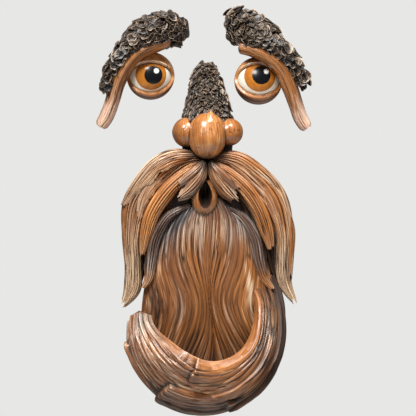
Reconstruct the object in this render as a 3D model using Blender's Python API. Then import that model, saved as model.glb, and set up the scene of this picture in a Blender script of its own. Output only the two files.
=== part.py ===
# Tree face bird feeder in painted resin, hung on a trunk in three castings.
# The bearded feeder has a bark nose, a moustache and a beard whose curled end is the seed tray.
# The two eye pieces each hold an eyeball in its lids under a bark brow with a branch for a tail.
# Every casting has a flat back, with a nail hole, that lies on the trunk at Y = 0.
# +X is the viewer's right, -Y faces the viewer and +Z is up.

import math
import random

import bmesh
import bpy
import numpy as np

# Driving sizes, in metres
FEEDER_HEIGHT = 0.305
EYE_PIECE_HEIGHT = 0.109
EYEBALL_RADIUS = 0.0187
LID_THICKNESS = 0.0024
LEFT_EYE_GAP = 0.0155
RIGHT_EYE_GAP = 0.011
TRAY_WALL = 0.008
NAIL_HOLE_RADIUS = 0.0045
NAIL_HOLE_DEPTH = 0.012
NAIL_HOLE_RISE = 0.012
FLAKE_RADIUS = 0.007
FLAKE_THICKNESS = 0.0016
FLAKE_SPACING = 0.0098
FLAKE_ROOT = 0.006

# The free forms are drawn in hundredths of their own casting's height: (across, up) or how far out.
FEEDER_PART = FEEDER_HEIGHT / 100
EYE_PART = EYE_PIECE_HEIGHT / 100

# A flake of bark tilts by this angle, in radians, and its foot in the roll is this share of its width.
FLAKE_TILT = 0.3
FLAKE_FOOT = 0.95

# How far the forms run behind the back plane before the flat back is cut, in metres
BACK_ALLOWANCE = 0.006
# A loose shell smaller than this, in cubic metres, is a speck left over from joining.
SPECK_VOLUME = 1e-9

WOOD = (0.42, 0.20, 0.075, 1.0)
ROUGHNESS = 0.38

# The eyes sit beside the bark of the nose, at these shares of the feeder's height above the mount.
NOSE_HALF_WIDTH_AT_EYES = 4.3
LEFT_EYE_UP = 21.5
RIGHT_EYE_UP = 20.1


# Each lock of hair or roll of bark is a spine of (across, up) points, with its half width, how far out its
# crest and its side edges lie at even steps along it, its number of strands and the depth between them.
LEFT_MOUSTACHE = {
    "long": {
        "spine": [(-1.1, -2.2), (-7.8, -3.2), (-14.3, -8.1), (-20.0, -15.2), (-21.6, -24.4), (-22.3, -33.0),
                  (-23.0, -40.2), (-24.7, -45.4)],
        "half_width": [1.9, 3.5, 4.6, 4.3, 3.2, 2.7, 2.2, 0.7],
        "crest": [11.8, 12.6, 11.2, 9.0, 7.2],
        "edge": [7.5, 7.0, 6.0, 5.0, 5.6],
        "strands": 6,
    },
    "outer": {
        "spine": [(-3.2, -1.6), (-9.3, -2.0), (-14.5, -4.6), (-19.6, -10.0), (-24.4, -16.4)],
        "half_width": [1.4, 2.4, 2.6, 2.2, 0.7],
        "crest": [12.0, 13.0, 12.2, 10.6, 9.0],
        "edge": [9.0, 8.5, 7.5, 7.0, 7.6],
        "strands": 4,
    },
    "inner": {
        "spine": [(-1.1, -3.4), (-5.5, -6.3), (-11.2, -11.5), (-15.5, -17.8), (-17.5, -24.4), (-18.7, -30.5)],
        "half_width": [1.1, 2.0, 2.6, 2.4, 1.9, 0.7],
        "crest": [12.6, 14.0, 14.2, 13.2, 11.6],
        "edge": [9.0, 9.4, 9.6, 9.4, 9.8],
        "strands": 4,
    },
    "tuft": {
        "spine": [(-0.6, -3.6), (-2.0, -7.6), (-4.9, -11.2), (-8.9, -14.2)],
        "half_width": [1.0, 2.1, 2.5, 0.9],
        "crest": [13.8, 15.2, 15.0, 13.8],
        "edge": [10.5, 11.0, 11.4, 12.0],
        "strands": 4,
    },
}
RIGHT_MOUSTACHE = {
    "long": {
        "spine": [(0.6, -2.2), (7.2, -3.6), (13.6, -8.6), (19.0, -15.0), (21.5, -23.8), (22.8, -32.2),
                  (23.6, -38.8), (25.6, -44.0)],
        "half_width": [1.9, 3.5, 4.8, 4.6, 3.4, 2.9, 2.3, 0.7],
        "crest": [11.8, 12.6, 11.2, 9.0, 7.2],
        "edge": [7.5, 7.0, 6.0, 5.0, 5.6],
        "strands": 6,
    },
    "outer": {
        "spine": [(2.6, -1.6), (8.8, -2.7), (14.2, -6.3), (19.6, -11.6), (24.0, -20.0)],
        "half_width": [1.4, 2.4, 2.6, 2.3, 0.7],
        "crest": [12.0, 13.0, 12.2, 10.6, 9.0],
        "edge": [9.0, 8.5, 7.5, 7.0, 7.6],
        "strands": 4,
    },
    "inner": {
        "spine": [(0.9, -3.4), (5.5, -6.3), (11.2, -11.5), (15.2, -17.8), (17.2, -23.6), (18.4, -28.7)],
        "half_width": [1.1, 2.0, 2.6, 2.4, 2.0, 0.9],
        "crest": [12.6, 14.0, 14.2, 13.2, 11.6],
        "edge": [9.0, 9.4, 9.6, 9.4, 9.8],
        "strands": 4,
    },
    "tuft": {
        "spine": [(0.9, -3.6), (2.6, -7.6), (5.6, -11.6), (9.6, -15.3)],
        "half_width": [1.0, 2.1, 2.5, 0.9],
        "crest": [13.8, 15.2, 15.0, 13.8],
        "edge": [10.5, 11.0, 11.4, 12.0],
        "strands": 4,
    },
}
BEARD_SIDES = {
    "left": {
        "spine": [(-4.9, -15.8), (-11.2, -19.0), (-14.9, -25.3), (-16.1, -32.2), (-16.7, -36.8), (-18.4, -39.9)],
        "half_width": [0.9, 1.7, 2.0, 1.9, 1.4, 0.6],
        "crest": [11.5, 12.2, 12.0, 11.4, 10.4],
        "edge": [8.0, 8.2, 8.4, 8.6, 9.2],
        "strands": 3,
    },
    "right": {
        "spine": [(3.2, -15.8), (9.5, -19.0), (13.5, -25.3), (14.9, -32.2), (16.4, -36.8), (19.3, -40.5)],
        "half_width": [0.9, 1.7, 2.0, 1.9, 1.4, 0.6],
        "crest": [11.5, 12.2, 12.0, 11.4, 10.4],
        "edge": [8.0, 8.2, 8.4, 8.6, 9.2],
        "strands": 3,
    },
}
NOSE_BARK = {
    "spine": [(-0.7, 25.3), (-0.6, 20.5), (-0.1, 15.6), (0.1, 10.6), (0.1, 5.0), (0.1, -2.0)],
    "half_width": [2.2, 4.3, 5.4, 6.7, 7.5, 7.0],
    "crest": [4.0, 8.4, 11.0, 13.0, 12.0, 8.5],
    "edge": [2.0, 2.0, 2.4, 4.0, 6.0, 6.0],
    "strands": 0,
    "bark_to": 0.62,
}
STRAND_DEPTH = 0.75
# A lock narrower than this, in half width, has shallower strands.
FULL_DEPTH_HALF_WIDTH = 2.4

# The beard fans out from under the lip in rows: the height of a row's ends and how far its middle sags below
# them, its half width, and how far out its crest and its ends lie, at even steps down to the tray's floor.
BEARD_ENDS_UP = [-11.5, -17.0, -24.0, -31.0, -38.0, -45.0, -51.5, -58.0, -65.4]
BEARD_SAG = [-0.5, -2.5, -4.5, -4.5, -3.5, -2.0, 0.5, 3.5, 8.0]
BEARD_HALF_WIDTH = [2.6, 8.5, 14.0, 16.6, 18.4, 19.4, 19.4, 18.4, 15.0]
BEARD_CREST = [10.5, 12.0, 13.2, 13.2, 12.2, 10.6, 8.6, 7.0, 6.4]
BEARD_EDGE = [6.0, 6.0, 6.2, 6.6, 7.2, 7.5, 7.0, 5.0, 3.0]
BEARD_LEAN = [0.0, 0.0, 0.2, 0.4, 0.6, 0.6, 0.6, 0.4, 0.0]
BEARD_STRANDS = 15
BEARD_SWAY = 1.1
FULL_DEPTH_BEARD_WIDTH = 11.0
# The chin behind the lip and the moustache
CHIN = {
    "spine": [(0.0, 0.5), (-0.2, -8.0), (-0.3, -16.0), (-0.2, -24.0), (0.2, -32.0)],
    "half_width": [6.0, 9.5, 14.0, 16.8, 17.4],
    "crest": [8.0, 9.0, 9.5, 9.0, 8.5],
    "edge": [6.0, 6.0, 6.0, 6.0, 6.0],
    "strands": 0,
}

# The curl that makes the tray sweeps round this point, from the right cheek under the beard to its left tip.
CURL_CENTRE = (-1.15, -52.9)
CURL_FROM, CURL_TO = -40.0, 200.0
CURL_OUTER = [24.1, 21.8, 21.3, 21.4, 21.7, 21.8, 21.6, 22.1, 22.3]
CURL_RIM = [17.8, 14.4, 11.8, 9.3, 7.5, 6.6, 7.0, 9.5, 15.8]
CURL_RIM_OUT = [9.5, 13.5, 18.5, 23.0, 25.5, 26.0, 24.5, 20.5, 14.5]
CURL_BELLY_OUT = [4.0, 6.0, 8.0, 10.0, 11.0, 11.0, 10.5, 9.5, 9.0]
CURL_BACK_OUT = -1.6
CURL_STRANDS = 6
CURL_BACK_INSET = 0.5
# The curl's inner wall runs back to this distance from its centre, inside the beard, so the tray has no slot.
CURL_FOOT = 17.0
NARROWEST_HOLLOW = 0.5
# Two of its locks lie over the others and end in a point: (span from belly to rim, angle where it ends)
CURL_OVERLAPS = [((0.5, 1.0), 108.0), ((0.0, 0.5), 132.0)]
OVERLAP_LIFT = 1.1
OVERLAP_POINT = 24.0

NOSE_BALLS = {
    "tip": {"centre": (0.1, 11.8, 4.0), "radii": (5.5, 6.6, 6.7)},
    "left_wing": {"centre": (-6.2, 9.4, 4.5), "radii": (3.8, 4.8, 4.1)},
    "right_wing": {"centre": (6.6, 9.4, 4.7), "radii": (3.8, 4.8, 3.8)},
}
LIP = {"centre": (-0.6, 10.2, -13.8), "radii": (3.9, 4.6, 5.8)}
MOUTH = {"centre": (-0.5, 16.2, -12.6), "radii": (2.1, 6.4, 4.4)}

LEFT_BROW = {
    "arm": {
        "spine": [(17.4, 28.3), (3.8, 25.1), (-9.9, 18.7), (-20.3, 7.4), (-26.8, -5.5), (-30.8, -19.9),
                  (-35.6, -32.8), (-41.2, -41.6)],
        "half_width": [4.8, 5.6, 6.0, 6.4, 6.4, 5.6, 5.2, 3.2],
        "crest": [30.0, 33.0, 28.0, 20.0, 15.0],
        "edge": [20.0, 22.0, 16.0, 10.0, 8.0],
        "strands": 3,
    },
    "bark": {
        "spine": [(25.5, 34.7), (14.2, 37.7), (-1.8, 34.6), (-15.5, 23.9), (-26.8, 10.6), (-33.2, -3.9),
                  (-36.4, -11.9)],
        "half_width": [5.0, 13.8, 13.4, 9.8, 6.4, 4.8, 2.4],
        "crest": [22.0, 36.0, 35.0, 27.0, 20.0],
        "edge": [12.0, 14.0, 14.0, 12.0, 12.0],
        "strands": 0,
        "bark_to": 1.0,
    },
}
RIGHT_BROW = {
    "arm": {
        "spine": [(-17.0, 26.3), (-4.2, 25.3), (8.7, 18.7), (19.1, 8.2), (25.6, -5.5), (30.4, -19.1),
                  (34.4, -30.4), (40.0, -39.2)],
        "half_width": [4.8, 5.6, 6.0, 6.4, 6.4, 5.6, 5.2, 3.2],
        "crest": [30.0, 33.0, 28.0, 20.0, 15.0],
        "edge": [20.0, 22.0, 16.0, 10.0, 8.0],
        "strands": 3,
    },
    "bark": {
        "spine": [(-25.0, 43.6), (-14.0, 43.2), (0.6, 37.0), (14.3, 27.0), (24.8, 16.2), (32.8, 5.0),
                  (37.6, -3.1)],
        "half_width": [10.5, 14.6, 13.8, 9.8, 6.8, 5.6, 3.0],
        "crest": [22.0, 36.0, 35.0, 27.0, 20.0],
        "edge": [12.0, 14.0, 14.0, 12.0, 12.0],
        "strands": 0,
        "bark_to": 1.0,
    },
}
EYE_CENTRE_OUT = 0.5
# Each eye opening is an almond seen from the eyeball's centre: how its middle is tipped up and rolled,
# and its half angles across and up, in degrees.
LEFT_OPENING = {"tip": -9.5, "roll": 1.0, "across": 76.0, "up": 44.0}
RIGHT_OPENING = {"tip": -0.5, "roll": -5.9, "across": 76.0, "up": 46.0}
ALMOND_POWER = 1.7


def clear_scene():
    for item in list(bpy.data.objects):
        bpy.data.objects.remove(item)


def collection(name, hidden=False):
    made = bpy.data.collections.new(name)
    made.hide_render = hidden
    bpy.context.scene.collection.children.link(made)
    return made


def blend(values, t):
    """A smooth curve through evenly spaced values, read at t from 0 at the first to 1 at the last."""
    knots = np.asarray(values, float)
    last = len(knots) - 1
    place = np.clip(np.asarray(t, float), 0.0, 1.0) * last
    index = np.minimum(place.astype(int), last - 1)
    f = place - index
    if knots.ndim > 1:
        f = f[..., None]
    before = knots[np.maximum(index - 1, 0)]
    here = knots[index]
    after = knots[index + 1]
    beyond = knots[np.minimum(index + 2, last)]
    bend = 2 * before - 5 * here + 4 * after - beyond
    twist = 3 * here - before - 3 * after + beyond
    return 0.5 * (2 * here + (after - before) * f + bend * f**2 + twist * f**3)


def smooth_step(x):
    x = np.clip(x, 0.0, 1.0)
    return x * x * (3 - 2 * x)


def place(across, out, up, part, origin):
    """World points from hundredths of a casting's height, round that casting's origin (across, out, up)."""
    return np.stack(
        [origin[0] + across * part, -(origin[1] + out * part), origin[2] + up * part], axis=-1
    )


def valley(position, strands):
    """0 on the crest of a strand and 1 in the valley beside it; position runs from 0 to 1 over them all."""
    return 1 - np.abs(np.sin(math.pi * strands * position))


def lock_points(lock, q, t, part, origin):
    """Points on a lock: q runs from -1 to 1 across it and t from 0 to 1 along it."""
    step = 1e-3
    middle = blend(lock["spine"], t)
    along = blend(lock["spine"], t + step) - blend(lock["spine"], t - step)
    along = along / np.linalg.norm(along, axis=-1, keepdims=True)
    half = blend(lock["half_width"], t)
    crest = blend(lock["crest"], t)
    edge = blend(lock["edge"], t)
    rounding = np.sqrt(np.clip(1 - np.abs(q) ** 2.4, 0.0, 1.0))
    out = edge + (crest - edge) * rounding
    if lock["strands"]:
        depth = STRAND_DEPTH * np.minimum(1.0, half / FULL_DEPTH_HALF_WIDTH)
        out = out - depth * valley((q + 1) / 2, lock["strands"])
    across = middle[..., 0] - along[..., 1] * half * q
    up = middle[..., 1] + along[..., 0] * half * q
    return place(across, out, up, part, origin)


def beard_points(q, t):
    """Points on the beard: q runs from -1 to 1 across it and t from 0 at the lip to 1 at the tray's floor."""
    half = blend(BEARD_HALF_WIDTH, t)
    inwards = 1 - q * q
    rounding = np.clip(1 - np.abs(q) ** 2.6, 0.0, 1.0) ** 0.6
    edge = blend(BEARD_EDGE, t)
    out = edge + (blend(BEARD_CREST, t) - edge) * rounding
    depth = STRAND_DEPTH * np.minimum(1.0, half / FULL_DEPTH_BEARD_WIDTH)
    out = out - depth * valley((q + 1) / 2, BEARD_STRANDS)
    sway = BEARD_SWAY * np.sin(2.5 * math.pi * t) * inwards
    across = blend(BEARD_LEAN, t) + half * q + sway
    up = blend(BEARD_ENDS_UP, t) - blend(BEARD_SAG, t) * inwards
    return place(across, out, up, FEEDER_PART, (0.0, 0.0, 0.0))


def curl_overlap(angle, share):
    """How far the overlapping locks lift the curl's outer face."""
    lift = np.zeros(np.broadcast(angle, share).shape)
    for (low, high), end in CURL_OVERLAPS:
        half = (high - low) / 2 * np.sqrt(np.clip((end - angle) / OVERLAP_POINT, 0.0, 1.0))
        inside = smooth_step((half - np.abs(share - (low + high) / 2)) / 0.06)
        lift = lift + OVERLAP_LIFT * inside
    return lift


def curl_ring(angle):
    """One closed section through the curl: out from the back, round the belly to the rim and back inside."""
    t = (angle - CURL_FROM) / (CURL_TO - CURL_FROM)
    outer = float(blend(CURL_OUTER, t))
    rim = float(blend(CURL_RIM, t))
    rim_out = float(blend(CURL_RIM_OUT, t))
    belly = float(blend(CURL_BELLY_OUT, t))
    wall = TRAY_WALL / FEEDER_PART
    points = [(outer - CURL_BACK_INSET, CURL_BACK_OUT)]
    columns = 2 * CURL_STRANDS
    for column in range(columns + 1):
        share = column / columns
        turn = math.radians(80) * share
        lift = float(curl_overlap(angle, share)) - STRAND_DEPTH * valley(share, CURL_STRANDS)
        points.append(
            (
                rim + (outer - rim + lift) * math.cos(turn),
                belly + (rim_out - belly + lift) * math.sin(turn),
            )
        )
    points.append((rim, rim_out - 0.4 * wall))
    for turn in (66, 48, 24, 0):
        turn = math.radians(turn)
        points.append(
            (
                rim + max(outer - wall - rim, NARROWEST_HOLLOW) * math.cos(turn),
                belly + max(rim_out - wall - belly, NARROWEST_HOLLOW) * math.sin(turn),
            )
        )
    points.append((CURL_FOOT, CURL_BACK_OUT))
    radial = np.array(points)
    turn = math.radians(angle)
    across = CURL_CENTRE[0] + radial[:, 0] * math.cos(turn)
    up = CURL_CENTRE[1] - radial[:, 0] * math.sin(turn)
    return place(across, radial[:, 1], up, FEEDER_PART, (0.0, 0.0, 0.0))


def shell_volume(faces):
    volume = 0.0
    for face in faces:
        first, *others = (loop.vert.co for loop in face.loops)
        for second, third in zip(others, others[1:]):
            volume += first.dot(second.cross(third)) / 6
    return volume


def face_outwards(faces):
    """Turns the faces of one closed shell round if they enclose less than nothing."""
    if shell_volume(faces) < 0:
        for face in faces:
            face.normal_flip()


def add_loft(bm, rings):
    """A closed solid through closed rings with the same number of points, with a flat cap at each end."""
    made = [[bm.verts.new(point) for point in ring] for ring in rings]
    faces = []
    count = len(made[0])
    for near, far in zip(made, made[1:]):
        for i in range(count):
            j = (i + 1) % count
            faces.append(bm.faces.new((near[i], near[j], far[j], far[i])))
    caps = [bm.faces.new(made[0][::-1]), bm.faces.new(made[-1])]
    face_outwards(faces + bmesh.ops.triangulate(bm, faces=caps)["faces"])


def add_carving(bm, front, layer=0):
    """A closed solid from a front grid of points straight back to a flat behind the back plane.

    Each layer ends at its own depth there, so that no two forms share a plane when they are joined.
    """
    rear = front.copy()
    rear[..., 1] = BACK_ALLOWANCE * (1 + 0.1 * layer)
    rows, columns = front.shape[:2]
    near = [[bm.verts.new(point) for point in row] for row in front]
    far = [[bm.verts.new(point) for point in row] for row in rear]
    faces = []
    for i in range(rows - 1):
        for j in range(columns - 1):
            faces.append(bm.faces.new((near[i][j], near[i][j + 1], near[i + 1][j + 1], near[i + 1][j])))
            faces.append(bm.faces.new((far[i][j], far[i + 1][j], far[i + 1][j + 1], far[i][j + 1])))
    edge = [(0, j) for j in range(columns - 1)] + [(i, columns - 1) for i in range(rows - 1)]
    edge += [(rows - 1, j) for j in range(columns - 1, 0, -1)] + [(i, 0) for i in range(rows - 1, 0, -1)]
    for (i, j), (k, l) in zip(edge, edge[1:] + edge[:1]):
        faces.append(bm.faces.new((near[k][l], near[i][j], far[i][j], far[k][l])))
    face_outwards(faces)


def lock_grid(lock, part, origin=(0.0, 0.0, 0.0)):
    columns = 2 * lock["strands"] or 8
    q, t = np.meshgrid(np.linspace(-1, 1, columns + 1), np.linspace(0, 1, len(lock["spine"]) + 3))
    return lock_points(lock, q, t, part, origin)


def add_ball(bm, ball, part, segments=14, rings=9):
    """An egg shape with its own centre and radii, in hundredths of the casting's height."""
    made = bmesh.ops.create_uvsphere(bm, u_segments=segments, v_segments=rings, radius=1.0)
    across, out, up = ball["centre"]
    for vert in made["verts"]:
        x, y, z = vert.co
        vert.co = (
            (across + x * ball["radii"][0]) * part,
            -(out - y * ball["radii"][1]) * part,
            (up + z * ball["radii"][2]) * part,
        )


def add_flake(bm, point, normal, along, size, rng, sides=5):
    """One flake of bark: a plate whose free end, down the spine, stands off the roll it is rooted in."""
    side = np.cross(normal, along)
    lifted = along * math.cos(FLAKE_TILT) + normal * math.sin(FLAKE_TILT)
    top = []
    bottom = []
    for i in range(sides):
        turn = 2 * math.pi * (i + rng.uniform(-0.2, 0.2)) / sides
        reach = size * rng.uniform(0.85, 1.1)
        step = side * (math.cos(turn) * reach) + lifted * (math.sin(turn) * reach)
        flat = side * (math.cos(turn) * reach) + along * (math.sin(turn) * reach)
        top.append(bm.verts.new(point + step + normal * FLAKE_THICKNESS))
        bottom.append(bm.verts.new(point + flat * FLAKE_FOOT - normal * FLAKE_ROOT))
    faces = [bm.faces.new(bottom[::-1])]
    faces.append(bm.faces.new(top))
    for i in range(sides):
        j = (i + 1) % sides
        faces.append(bm.faces.new((bottom[i], bottom[j], top[j], top[i])))
    face_outwards(faces)


def surface_frame(lock, q, t, part, origin):
    """A point on a lock, the direction out of it and the direction along it."""
    step = 0.01
    here, ahead, aside = (
        lock_points(lock, np.array(q + dq), np.array(t + dt), part, origin)
        for dq, dt in ((0.0, 0.0), (0.0, step), (step, 0.0))
    )
    if t + step > 1:
        ahead = 2 * here - lock_points(lock, np.array(q), np.array(t - step), part, origin)
    along = (ahead - here) / np.linalg.norm(ahead - here)
    normal = np.cross(aside - here, along)
    normal = normal / np.linalg.norm(normal)
    if normal[1] > 0:
        normal = -normal
    return here, normal, along


def lock_length(lock, part):
    line = blend(lock["spine"], np.linspace(0, 1, 60)) * part
    return float(np.linalg.norm(np.diff(line, axis=0), axis=1).sum())


def object_from(bm, name, group):
    mesh = bpy.data.meshes.new(name)
    bm.to_mesh(mesh)
    bm.free()
    made = bpy.data.objects.new(name, mesh)
    group.objects.link(made)
    return made


def helper_from(bm, name, group):
    made = object_from(bm, name, group)
    made.hide_render = True
    made.display_type = "WIRE"
    return made


def make_flakes(name, lock, part, origin, seed, group):
    """Overlapping rows of bark flakes over a roll, like shingles."""
    rng = random.Random(seed)
    rows = max(3, round(lock["bark_to"] * lock_length(lock, part) / FLAKE_SPACING))
    made = []
    for row in range(rows):
        t = lock["bark_to"] * (row + 0.5) / rows
        half = float(blend(lock["half_width"], t)) * part
        columns = max(1, round(2.3 * half / FLAKE_SPACING))
        for column in range(columns):
            q = 2 * (column + 0.5 + 0.25 * (-1) ** row) / columns - 1
            q = min(0.86, max(-0.86, q + rng.uniform(-0.06, 0.06)))
            spot = surface_frame(lock, q, t + rng.uniform(-0.2, 0.2) / rows, part, origin)
            size = min(FLAKE_RADIUS, 1.3 * half) * rng.uniform(0.85, 1.1)
            bm = bmesh.new()
            add_flake(bm, *spot, size, rng)
            made.append(helper_from(bm, f"{name}_flake_{len(made) + 1}", group))
    return made


def boolean(target, other, operation):
    made = target.modifiers.new(f"{operation} {other.name}", "BOOLEAN")
    made.operation = operation
    made.object = other
    made.solver = "MANIFOLD"


def connected_faces(first):
    found = {first}
    waiting = [first]
    while waiting:
        for edge in waiting.pop().edges:
            for face in edge.link_faces:
                if face not in found:
                    found.add(face)
                    waiting.append(face)
    return found


def join_up(casting):
    """Makes the casting one mesh of its joined forms, without the specks that grazing forms leave inside."""
    bpy.context.view_layer.update()
    evaluated = casting.evaluated_get(bpy.context.evaluated_depsgraph_get())
    joined = bpy.data.meshes.new_from_object(evaluated)
    casting.modifiers.clear()
    bm = bmesh.new()
    bm.from_mesh(joined)
    left = set(bm.faces)
    specks = []
    while left:
        shell = connected_faces(next(iter(left)))
        left -= shell
        if abs(shell_volume(shell)) < SPECK_VOLUME:
            specks += shell
    bmesh.ops.delete(bm, geom=specks, context="FACES")
    bm.to_mesh(joined)
    bm.free()
    casting.data = joined


def painted_resin():
    made = bpy.data.materials.new("painted resin")
    made.use_nodes = True
    shader = made.node_tree.nodes["Principled BSDF"]
    shader.inputs["Base Color"].default_value = WOOD
    shader.inputs["Roughness"].default_value = ROUGHNESS
    shader.inputs["Metallic"].default_value = 0.0
    return made


def back_cutter(group):
    """Everything behind the trunk's surface, so that each casting ends in one flat back."""
    width = 2 * FEEDER_HEIGHT
    bm = bmesh.new()
    made = bmesh.ops.create_cube(bm, size=1.0)
    depth = 4 * BACK_ALLOWANCE
    for vert in made["verts"]:
        x, y, z = vert.co
        vert.co = (x * width, (y + 0.5) * depth, z * 2 * width)
    return helper_from(bm, "back_cutter", group)


def nail_hole_cutter(name, across, up, group):
    """A blind hole in the back that drops over a nail."""
    bm = bmesh.new()
    length = NAIL_HOLE_DEPTH + BACK_ALLOWANCE
    made = bmesh.ops.create_cone(
        bm,
        cap_ends=True,
        segments=12,
        radius1=NAIL_HOLE_RADIUS,
        radius2=NAIL_HOLE_RADIUS,
        depth=length,
    )
    for vert in made["verts"]:
        x, y, z = vert.co
        vert.co = (across + x, z - length / 2 + BACK_ALLOWANCE, up - y)
    bmesh.ops.recalc_face_normals(bm, faces=bm.faces[:])
    return helper_from(bm, name, group)


def make_beard(group):
    q, t = np.meshgrid(np.linspace(-1, 1, 2 * BEARD_STRANDS + 1), np.linspace(0, 1, 12))
    bm = bmesh.new()
    add_carving(bm, beard_points(q, t))
    return object_from(bm, "bearded_feeder", group)


def make_curl(group):
    angles = list(np.linspace(CURL_FROM, CURL_TO, 21))
    for _, end in CURL_OVERLAPS:
        angles += [end - 0.3 * OVERLAP_POINT, end]
    bm = bmesh.new()
    add_loft(bm, [curl_ring(angle) for angle in sorted(angles)])
    return helper_from(bm, "curl", group)


def make_face_forms(group):
    """Everything that is joined to the beard: curl, side locks, moustache, chin, lip and nose."""
    forms = [make_curl(group)]
    locks = {f"{side}_beard_side": lock for side, lock in BEARD_SIDES.items()}
    locks |= {f"left_{name}_moustache": lock for name, lock in LEFT_MOUSTACHE.items()}
    locks |= {f"right_{name}_moustache": lock for name, lock in RIGHT_MOUSTACHE.items()}
    locks |= {"nose_bark": NOSE_BARK, "chin": CHIN}
    for layer, (name, lock) in enumerate(locks.items(), start=1):
        bm = bmesh.new()
        add_carving(bm, lock_grid(lock, FEEDER_PART), layer)
        forms.append(helper_from(bm, name, group))
    for name, ball in {**NOSE_BALLS, "lip": LIP}.items():
        bm = bmesh.new()
        add_ball(bm, ball, FEEDER_PART)
        forms.append(helper_from(bm, name, group))
    return forms


def make_feeder(group, helpers, back):
    feeder = make_beard(group)
    for form in make_face_forms(helpers):
        boolean(feeder, form, "UNION")
    for flake in make_flakes("nose", NOSE_BARK, FEEDER_PART, (0.0, 0.0, 0.0), 3, helpers):
        boolean(feeder, flake, "UNION")
    bm = bmesh.new()
    add_ball(bm, MOUTH, FEEDER_PART, segments=12, rings=8)
    boolean(feeder, helper_from(bm, "mouth_cutter", helpers), "DIFFERENCE")
    boolean(feeder, back, "DIFFERENCE")
    hole = nail_hole_cutter("feeder_nail_hole", 0.0, NAIL_HOLE_RISE, helpers)
    boolean(feeder, hole, "DIFFERENCE")
    return feeder


def almond_reach(opening, turn):
    """How far the eye opening reaches from its middle, as an angle in radians, in each direction."""
    across = np.abs(np.cos(turn)) / math.radians(opening["across"])
    up = np.abs(np.sin(turn)) / math.radians(opening["up"])
    return (across**ALMOND_POWER + up**ALMOND_POWER) ** (-1 / ALMOND_POWER)


def eye_points(opening, turn, away, centre):
    """Points on the eyeball and its lids, at an angle away from the middle of the opening."""
    lid = smooth_step((away - almond_reach(opening, turn)) / math.radians(5) + 0.5)
    radius = EYEBALL_RADIUS + LID_THICKNESS * lid
    x = np.sin(away) * np.cos(turn)
    z = np.sin(away) * np.sin(turn)
    y = -np.cos(away)
    roll = math.radians(opening["roll"])
    x, z = x * math.cos(roll) - z * math.sin(roll), x * math.sin(roll) + z * math.cos(roll)
    tip = math.radians(opening["tip"])
    y, z = y * math.cos(tip) + z * math.sin(tip), z * math.cos(tip) - y * math.sin(tip)
    return np.stack([centre[0] + x * radius, centre[1] + y * radius, centre[2] + z * radius], axis=-1)


def make_eyeball(name, opening, centre, group):
    segments = 24
    turns = np.linspace(0, 2 * math.pi, segments, endpoint=False)
    bm = bmesh.new()
    front = bm.verts.new(eye_points(opening, 0.0, np.array(0.0), centre))
    rear = bm.verts.new(eye_points(opening, 0.0, np.array(math.pi), centre))
    rings = []
    for share in (0.35, 0.7, 0.93, 1.07):
        away = almond_reach(opening, turns) * share
        rings.append([bm.verts.new(p) for p in eye_points(opening, turns, away, centre)])
    edge = almond_reach(opening, turns) * 1.07
    for share in (0.3, 0.6, 0.85):
        away = edge + (math.pi - edge) * share
        rings.append([bm.verts.new(p) for p in eye_points(opening, turns, away, centre)])
    for near, far in zip(rings, rings[1:]):
        for i in range(segments):
            j = (i + 1) % segments
            bm.faces.new((near[i], near[j], far[j], far[i]))
    for i in range(segments):
        j = (i + 1) % segments
        bm.faces.new((front, rings[0][j], rings[0][i]))
        bm.faces.new((rear, rings[-1][i], rings[-1][j]))
    bmesh.ops.recalc_face_normals(bm, faces=bm.faces[:])
    return object_from(bm, name, group)


def make_eye_piece(side, brow, opening, across, up, seed, group, helpers, back):
    """An eyeball in its lids, under a branch whose upper half is bark."""
    centre = (across, -EYE_CENTRE_OUT * EYEBALL_RADIUS, up)
    eye = make_eyeball(f"{side}_eye_and_brow", opening, centre, group)
    origin = (across, 0.0, up)
    for layer, (name, lock) in enumerate(brow.items(), start=1):
        bm = bmesh.new()
        add_carving(bm, lock_grid(lock, EYE_PART, origin), layer)
        boolean(eye, helper_from(bm, f"{side}_brow_{name}", helpers), "UNION")
    for flake in make_flakes(f"{side}_brow", brow["bark"], EYE_PART, origin, seed, helpers):
        boolean(eye, flake, "UNION")
    boolean(eye, back, "DIFFERENCE")
    hole = nail_hole_cutter(f"{side}_nail_hole", across, up, helpers)
    boolean(eye, hole, "DIFFERENCE")
    return eye


def main():
    clear_scene()
    parts = collection("tree face bird feeder")
    helpers = collection("cutters", hidden=True)
    back = back_cutter(helpers)
    nose_side = NOSE_HALF_WIDTH_AT_EYES * FEEDER_PART
    lid_radius = EYEBALL_RADIUS + LID_THICKNESS
    left = -(nose_side + LEFT_EYE_GAP + lid_radius)
    right = nose_side + RIGHT_EYE_GAP + lid_radius
    castings = [
        make_feeder(parts, helpers, back),
        make_eye_piece(
            "left", LEFT_BROW, LEFT_OPENING, left, LEFT_EYE_UP * FEEDER_PART, 11, parts, helpers, back
        ),
        make_eye_piece(
            "right", RIGHT_BROW, RIGHT_OPENING, right, RIGHT_EYE_UP * FEEDER_PART, 12, parts, helpers, back
        ),
    ]
    resin = painted_resin()
    for casting in castings:
        join_up(casting)
        casting.data.materials.append(resin)


main()
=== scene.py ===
# Tree face bird feeder: the finished look of its painted resin castings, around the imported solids.
# The forms are drawn from the same values as the solids, with finer strands, flakes and paint.
# +X is the viewer's right, -Y faces the viewer and +Z is up; the backs lie on the trunk at Y = 0.

import math
import random

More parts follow.
